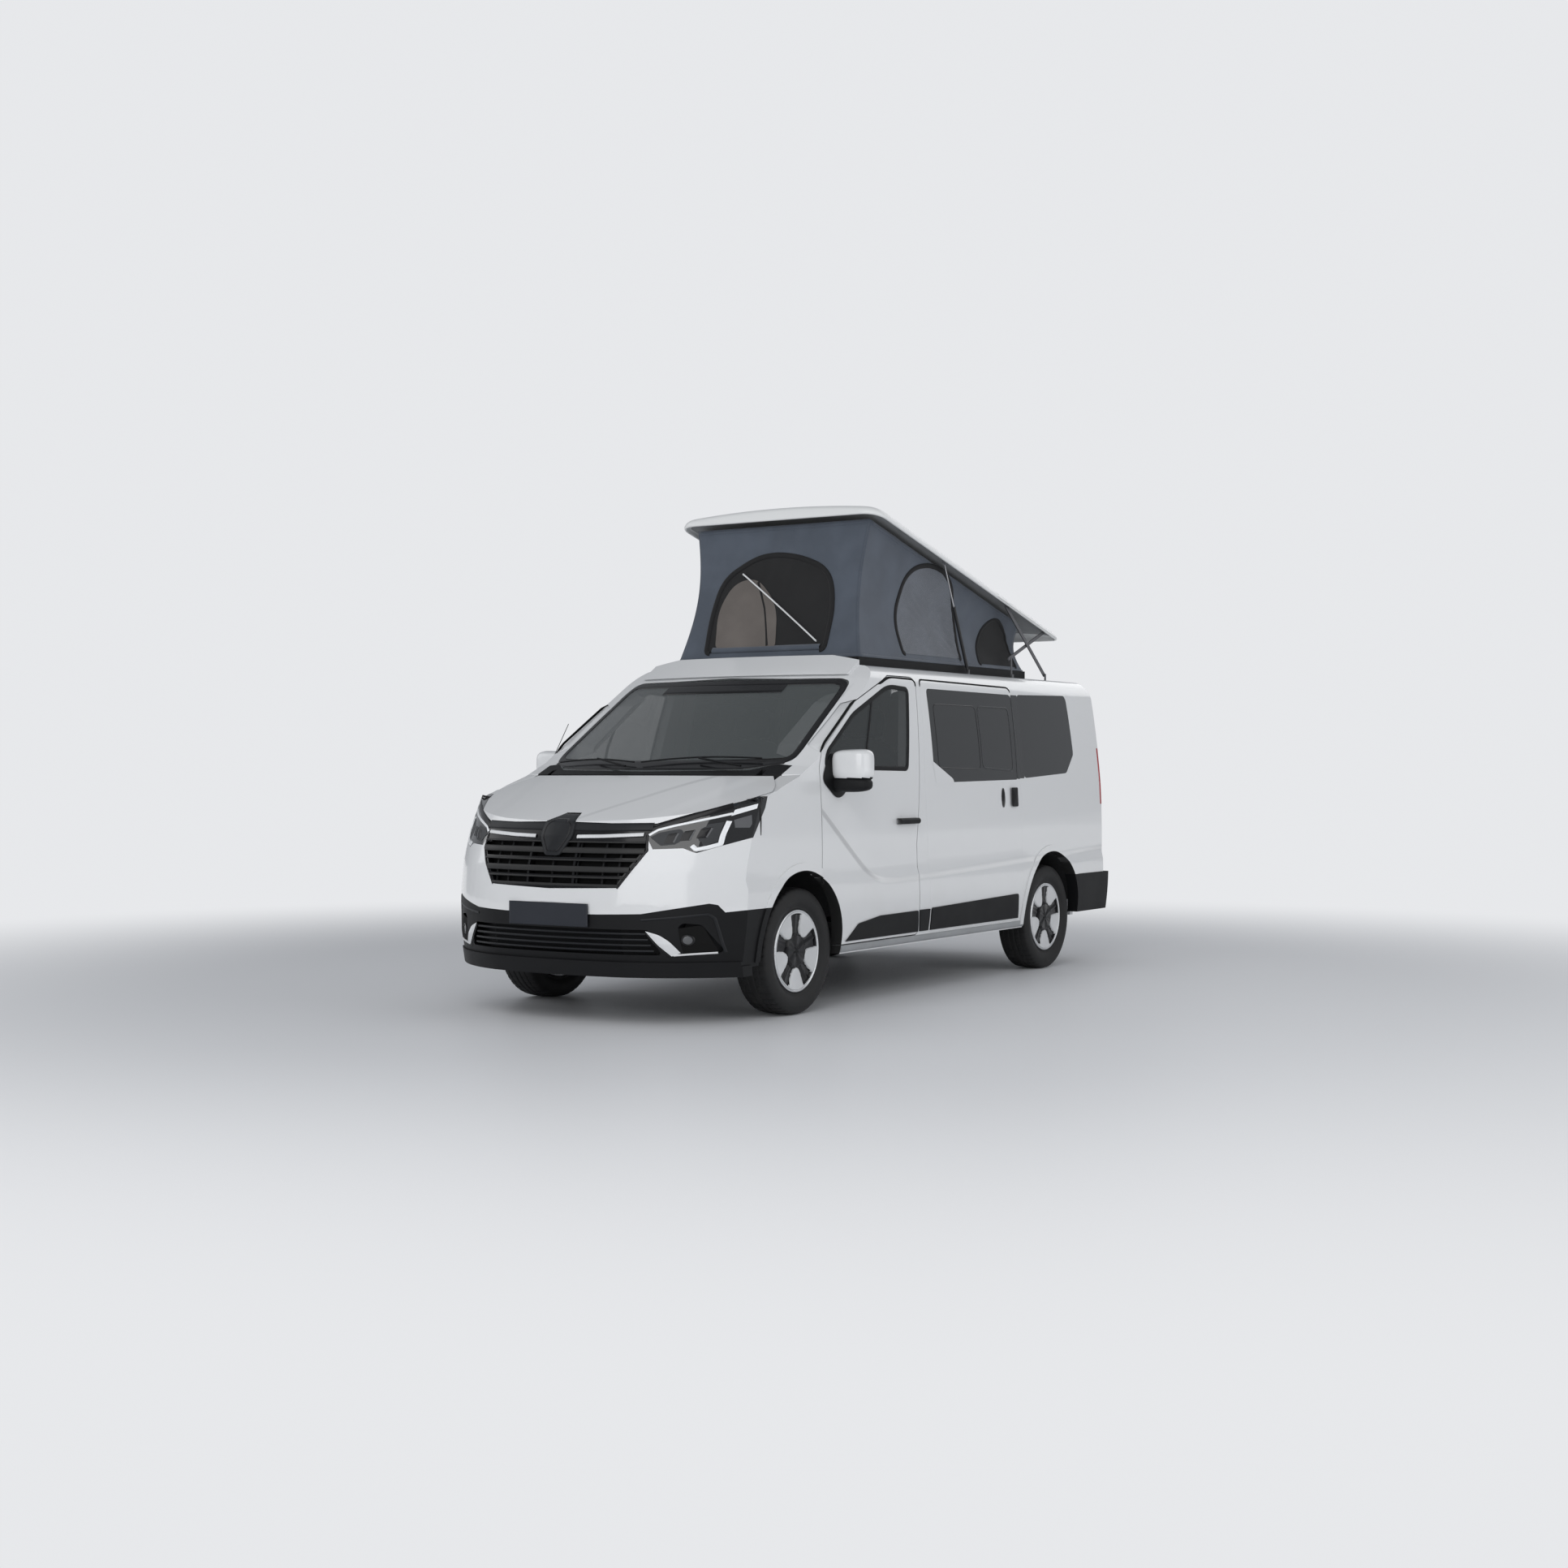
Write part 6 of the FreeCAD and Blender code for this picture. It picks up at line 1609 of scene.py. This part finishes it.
@dataclass
class Doors:
    """Handles, lock and mirrors."""

    mirror: Tuple[float, float, float] = (1.040, -1.185, 1.340)
    glass_y: float = -1.117
    split_z: float = 1.272

    def handles(self) -> None:
        """A bar handle in a dished cup on each front door, and the sliding door's pull."""
        line = level(-0.53, -0.30, 1.02, 30)
        cup = circle(-0.42, 1.035, 0.060, 0.042, 48)
        for side in Side:
            place, left = on_side(side), side is Side.LEFT
            tag, body = side.word, "door_" + side.word
            band("door_handle_" + tag, body, "black_plastic", line, 0.034, place, 0.024, 0.010, flip=left)
            fill("handle_cup_" + tag, body, "white_paint", cup, place, 0.0006, 10, flip=not left)
        place = on_side(Side.LEFT)
        lock = circle(0.853, 1.140, 0.024, 0.062, 40)
        fill("slide_lock", "van", "gloss_black", lock, place, 0.003, 8, 0.004)
        pull = corners(oblong(1.000, 0.045, 1.082, 1.204, 0.012), 6)
        fill("slide_pull", "van", "black_plastic", pull, place, 0.012, 8, 0.008)

    def mirrors(self) -> None:
        """Mirror housings with a white cap, a black lower half and its glass."""
        for side in Side:
            body, left = "door_" + side.word, side is Side.LEFT
            flips = ((False, True), left)

            def out(p: Array, x: float, y: float, z: float) -> Array:
                """Moves a shape out to a place given for the left side."""
                return (p + np.array([x, y, z])) * (side.value, 1, 1)

            shell = rounded_box((0.236, 0.135, 0.182), 4.6, 26)
            ahead = np.clip(-shell[..., 1] / 0.07, 0, 1)
            x, z = shell[..., 0], shell[..., 2] * (1.0 - 0.10 * ahead)
            z = np.where(z < 0, z * (0.90 + 0.35 * (x + 0.12)), z * (1 + 0.35 * (x - 0.02)))
            rows = out(np.stack([x * (1.0 - 0.16 * ahead), shell[..., 1], z], -1), *self.mirror)
            masks = np.where(rows[..., 2] < self.split_z, 1, 0)
            name, black = "mirror_cap_" + side.word, ("black_plastic",)
            cap = put(name, rows, body, "white_paint", *flips, extra=black, masks=masks)
            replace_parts(cap, "mirror_" + side.word)
            edge = [(0.950, 1.272, 0.03), (1.130, 1.268, 0.03), (1.130, 1.402, 0.04), (0.950, 1.398, 0.04)]
            rows = patch(
                corners(edge, 6),
                lambda u, v, h: out(np.stack([u, h + 0 * u, v], -1), 0.0, self.glass_y, 0.0), 0.0, 6,
            )
            put("mirror_glass_" + side.word, rows, body, "mirror_glass", *flips)
            under = rounded_box((0.30, 0.115, 0.085), 3.0, 20)
            under[..., 2] -= 0.10 * (under[..., 0] < 0) * under[..., 0] ** 2 * 4
            rows = out(under, 1.010, -1.185, 1.238)
            put("mirror_foot_" + side.word, rows, body, "black_plastic", *flips)
            rows = out(rounded_box((0.085, 0.075, 0.040), 3.0, 14), 0.905, -1.225, 1.292)
            put("mirror_step_" + side.word, rows, body, "white_paint", *flips)

    def build(self) -> None:
        """Builds the doors' details."""
        self.handles()
        self.mirrors()


@dataclass
class Cabin:
    """Seats, steering wheel and the parts that show through the windscreen."""

    seat_x: float = 0.40
    ring_radius: float = 0.184
    grip_radius: float = 0.014
    wheel_tilt: float = math.radians(-62)
    wheel_at: Tuple[float, float, float] = (-0.380, -0.872, 1.128)

    def _pad(self, name: str, size: Tuple, centre: Tuple, lean: float, node: str = "") -> None:
        """A padded block with soft edges and a shallow crown.

        Args:
            name: the piece's name.
            size: width, depth and height in metres.
            centre: its middle.
            lean: degrees that it is turned about X.
            node: the CAD node that it replaces, if it does.
        """
        rows = rounded_box(size, 4.5, 22)
        rows[..., 2] += 0.010 * np.cos(rows[..., 0] / size[0] * math.pi)
        rows = turned_x(rows, math.radians(lean)) + np.array(centre)
        obj = put(name, rows, "van", "seat_fabric", (False, True))
        if node:
            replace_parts(obj, node)

    def seats(self) -> None:
        """Two front seats and the rear bench, each of separate pads."""
        for side in Side:
            x, tag = side.value * self.seat_x, side.word
            node = "front_seats" if side is Side.LEFT else ""
            self._pad("seat_base_" + tag, (0.49, 0.53, 0.15), (x, -0.36, 0.84), -4, node)
            self._pad("seat_back_" + tag, (0.48, 0.15, 0.64), (x, -0.045, 1.18), -11)
            self._pad("seat_head_" + tag, (0.26, 0.10, 0.19), (x, 0.035, 1.60), -8)
            t = np.linspace(0, 1, 8)
            for k, dx in enumerate((-0.06, 0.06)):
                line = np.stack([x + dx + 0 * t, 0.03 * t, 1.46 + 0.09 * t], -1)
                bar(f"head_post_{tag}_{k}", "van", "steel", line, 0.007)
            at = (x, -0.35, 0.62)
            block("seat_plinth_" + tag, "van", "dash_plastic", (0.38, 0.40, 0.30), at, 8.0, 16)
        self._pad("bench_base", (1.08, 0.57, 0.14), (0.10, 1.37, 0.85), -3, "rear_bench")
        self._pad("bench_back", (1.08, 0.14, 0.58), (0.10, 1.73, 1.17), -12)
        box = (1.04, 0.46, 0.31), (0.11, 1.41, 0.625)
        block("bench_plinth", "van", "cabinet_board", *box, 10.0, 16)

    def steering(self) -> None:
        """The steering wheel's round rim, boss, spokes and column."""

        def seen(p: Array) -> Array:
            """Leans points of the wheel's own plane back about X and moves them there."""
            return turned_x(p, self.wheel_tilt) + np.array(self.wheel_at)

        q = np.linspace(0, TURN, 72, endpoint=False)[:, None]
        a = np.linspace(0, TURN, 14, endpoint=False)[None]
        reach = self.ring_radius + self.grip_radius * np.cos(a)
        rim = [reach * np.cos(q), reach * np.sin(q), self.grip_radius * np.sin(a) + 0 * q]
        ring = put("wheel_ring", seen(np.stack(rim, -1)), "van", "dash_plastic", (True, True))
        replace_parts(ring, "steering_wheel")
        boss = seen(rounded_box((0.15, 0.12, 0.05), 3.5, 16))
        put("wheel_boss", boss, "van", "dash_plastic", (False, True))
        for k, angle in enumerate((0.0, math.pi, -math.pi / 2)):
            t = np.linspace(0.05, 0.18, 8)
            line = np.stack([t * math.cos(angle), t * math.sin(angle), 0 * t], -1)
            spoke = seen(tube(line, 0.012, 10))
            put(f"wheel_spoke_{k}", spoke, "van", "dash_plastic", (False, True))
        line = np.stack([np.zeros(6), np.zeros(6), np.linspace(-0.02, -0.16, 6)], -1)
        put("wheel_column", seen(tube(line, 0.030, 14)), "van", "dash_plastic", (False, True))

    def build(self) -> None:
        """Builds the cabin's pieces, with the sensor pod and the inner mirror."""
        self.seats()
        self.steering()
        pod = (0.12, 0.10, 0.07), (0.0, -0.80, 1.745)
        block("sensor_pod", "van", "dash_plastic", *pod, 3.5, 14)
        mirror = (0.24, 0.03, 0.07), (-0.03, -0.76, 1.665)
        block("inner_mirror", "van", "dash_plastic", *mirror, 4.0, 14)


def aerial() -> None:
    """A whip aerial on the right front pillar, with its foot."""
    t = np.linspace(0, 1, 24)
    line = np.stack([-0.925 - 0.02 * t, -1.43 + 0.26 * t, 1.262 + 0.33 * t], -1)
    bar("aerial", "van", "black_steel", line, 0.0022, 6)
    foot = (0.03, 0.04, 0.03), (-0.922, -1.43, 1.262)
    block("aerial_foot", "van", "black_plastic", *foot, 2.5, 12)


@dataclass
class Studio:
    """Pale floor, soft lights and the photograph's camera."""

    camera: Tuple[float, float, float] = (6.805, -10.949, 1.324)
    azimuth: float = 32.45
    elevation: float = 0.424
    lens: float = 47.47
    pale: Colour = (0.80, 0.81, 0.83)
    surround: Colour = (0.80, 0.83, 0.88)
    surround_light: float = 0.38
    fade: Point2 = (3.6, 9.0)
    lamps: Tuple[Tuple, ...] = (
        ("key", (2.4, -9.5, 5.4), 9.0, 430.0), ("side", (9.5, 1.0, 4.2), 8.0, 225.0),
        ("fill", (-8.0, -4.0, 5.0), 6.0, 100.0), ("rear", (1.0, 9.0, 6.5), 6.0, 130.0),
    )

    def floor(self) -> None:
        """A wide floor that fades with distance into the pale backdrop's own colour."""
        mesh = bpy.data.meshes.new("floor")
        r = 60.0
        mesh.from_pydata([(-r, -r, 0), (r, -r, 0), (r, r, 0), (-r, r, 0)], [], [(0, 1, 2, 3)])
        obj = added("floor", mesh)
        s = Shade("studio_floor")
        s.set("Base Color", self.pale)
        s.set("Roughness", 0.42)
        s.set("Specular IOR Level", 0.3)
        x, y = s.axis("X"), s.axis("Y")
        away = (x * x + y * y).called("SQRT").ramp(*self.fade)
        glow = s.node("ShaderNodeEmission", {}, {0: (*self.pale, 1.0), 1: 1.0})
        mixed = s.node("ShaderNodeMixShader", {}, {0: away, 1: Sock(s, s.bsdf.outputs[0]), 2: glow})
        out = next(n for n in s.tree.nodes if n.type == "OUTPUT_MATERIAL")
        s.tree.links.new(mixed.value, out.inputs[0])
        obj.data.materials.append(s.material)

    def world(self) -> None:
        """A pale surround for the camera and reflections, and a dimmer one that lights."""
        world = bpy.data.worlds.new("studio")
        world.use_nodes = True
        tree = world.node_tree
        back = tree.nodes["Background"]
        back.inputs[0].default_value = (*self.surround, 1.0)
        back.inputs[1].default_value = self.surround_light
        seen = tree.nodes.new("ShaderNodeBackground")
        seen.inputs[0].default_value = (*self.pale, 1.0)
        seen.inputs[1].default_value = 1.0
        path = tree.nodes.new("ShaderNodeLightPath")
        mix = tree.nodes.new("ShaderNodeMixShader")
        either = tree.nodes.new("ShaderNodeMath")
        either.operation = "MAXIMUM"
        tree.links.new(path.outputs["Is Camera Ray"], either.inputs[0])
        tree.links.new(path.outputs["Is Transmission Ray"], either.inputs[1])
        tree.links.new(either.outputs[0], mix.inputs[0])
        tree.links.new(back.outputs[0], mix.inputs[1])
        tree.links.new(seen.outputs[0], mix.inputs[2])
        out = next(n for n in tree.nodes if n.type == "OUTPUT_WORLD")
        tree.links.new(mix.outputs[0], out.inputs[0])
        bpy.context.scene.world = world

    def lamp(self, name: str, spot: Vector, aim: Vector, size: float, power: float) -> None:
        """One square soft light."""
        data = bpy.data.lights.new(name, "AREA")
        data.size = size
        data.energy = power
        obj = added(name, data)
        obj.location = spot
        obj.rotation_mode = "QUATERNION"
        obj.rotation_quaternion = (aim - spot).to_track_quat("-Z", "Y")

    def eye(self) -> None:
        """The camera at the photograph's viewing angle."""
        data = bpy.data.cameras.new("camera")
        data.sensor_width = 36.0
        data.lens = self.lens
        obj = added("camera", data)
        a, e = math.radians(self.azimuth), math.radians(self.elevation)
        ahead = Vector((-math.sin(a) * math.cos(e), math.cos(a) * math.cos(e), -math.sin(e)))
        obj.location = self.camera
        obj.rotation_mode = "QUATERNION"
        obj.rotation_quaternion = ahead.to_track_quat("-Z", "Y")
        bpy.context.scene.camera = obj

    def build(self) -> None:
        """Builds the studio."""
        self.floor()
        self.world()
        self.eye()
        middle = Vector((0.0, 0.0, 1.2))
        for name, spot, size, power in self.lamps:
            self.lamp(name, Vector(spot), middle, size, power)
        bpy.context.scene.view_settings.view_transform = "Standard"


class Panels:
    """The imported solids: each shown piece gets its finish and smooth shading."""

    smooth_angle = math.radians(28.0)
    own_finish = {
        "bonnet": "bonnet_paint",
        "windscreen": "screen_glass",
        "sliding_door": "side_paint",
        **{f"{part}_{side.word}": "side_paint" for part in ("front_door", "body_side") for side in Side},
    }

    def build(self) -> None:
        """Dresses every node; curved panels are shown as smooth copies."""
        slots = {p["node"]: p["material_slot"] for p in frame["record"]["subparts"]}
        bodies = {n: b for b, ns in frame["record"]["behaviour"]["bodies"].items() for n in ns}
        for name, obj in frame["nodes"].items():
            finish = self.own_finish.get(name, slots[name])
            WARDROBE.dress(obj, finish)
            if name.startswith(("tyre_", "rim_")) or obj.hide_render:
                continue
            self.smooth_copy(name, obj, bodies[name], finish)

    def smooth_copy(self, name: str, obj: bpy.types.Object, body: str, finish: str) -> None:
        """A welded copy of a node whose gentle bends shade smoothly.

        Args:
            name: the node.
            obj: its object.
            body: the body it rides on.
            finish: its finish.
        """
        mesh = obj.data.copy()
        mesh.name = name + "_skin"
        work = bmesh.new()
        work.from_mesh(mesh)
        bmesh.ops.remove_doubles(work, verts=work.verts, dist=1e-5)
        work.to_mesh(mesh)
        work.free()
        if "custom_normal" in mesh.attributes:
            mesh.attributes.remove(mesh.attributes["custom_normal"])
        mesh.set_sharp_from_angle(angle=self.smooth_angle)
        mesh.polygons.foreach_set("use_smooth", [True] * len(mesh.polygons))
        copy = added(name + "_skin", mesh)
        WARDROBE.dress(copy, finish)
        weigh = copy.modifiers.new("weigh", "WEIGHTED_NORMAL")
        weigh.keep_sharp = True
        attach(copy, body)
        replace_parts(copy, name)


def main() -> None:
    """Builds the studio and the van's sub-assemblies in order."""
    logging.basicConfig(level=logging.INFO, format="%(name)s %(message)s")
    Studio().build()
    spots = {"front": (0.808, -1.526), "rear": (0.814, 1.572)}
    for end, centre in spots.items():
        for side in Side:
            Wheel(f"{end}_{side.word}", side, centre).build()
    for assembly in (TentWalls(), RoofShell(), Nose(), Glazing(), GapSealsAndShade(), Tail(), Doors(), Cabin()):
        assembly.build()
    aerial()
    Panels().build()


if __name__ == "__main__":
    main()
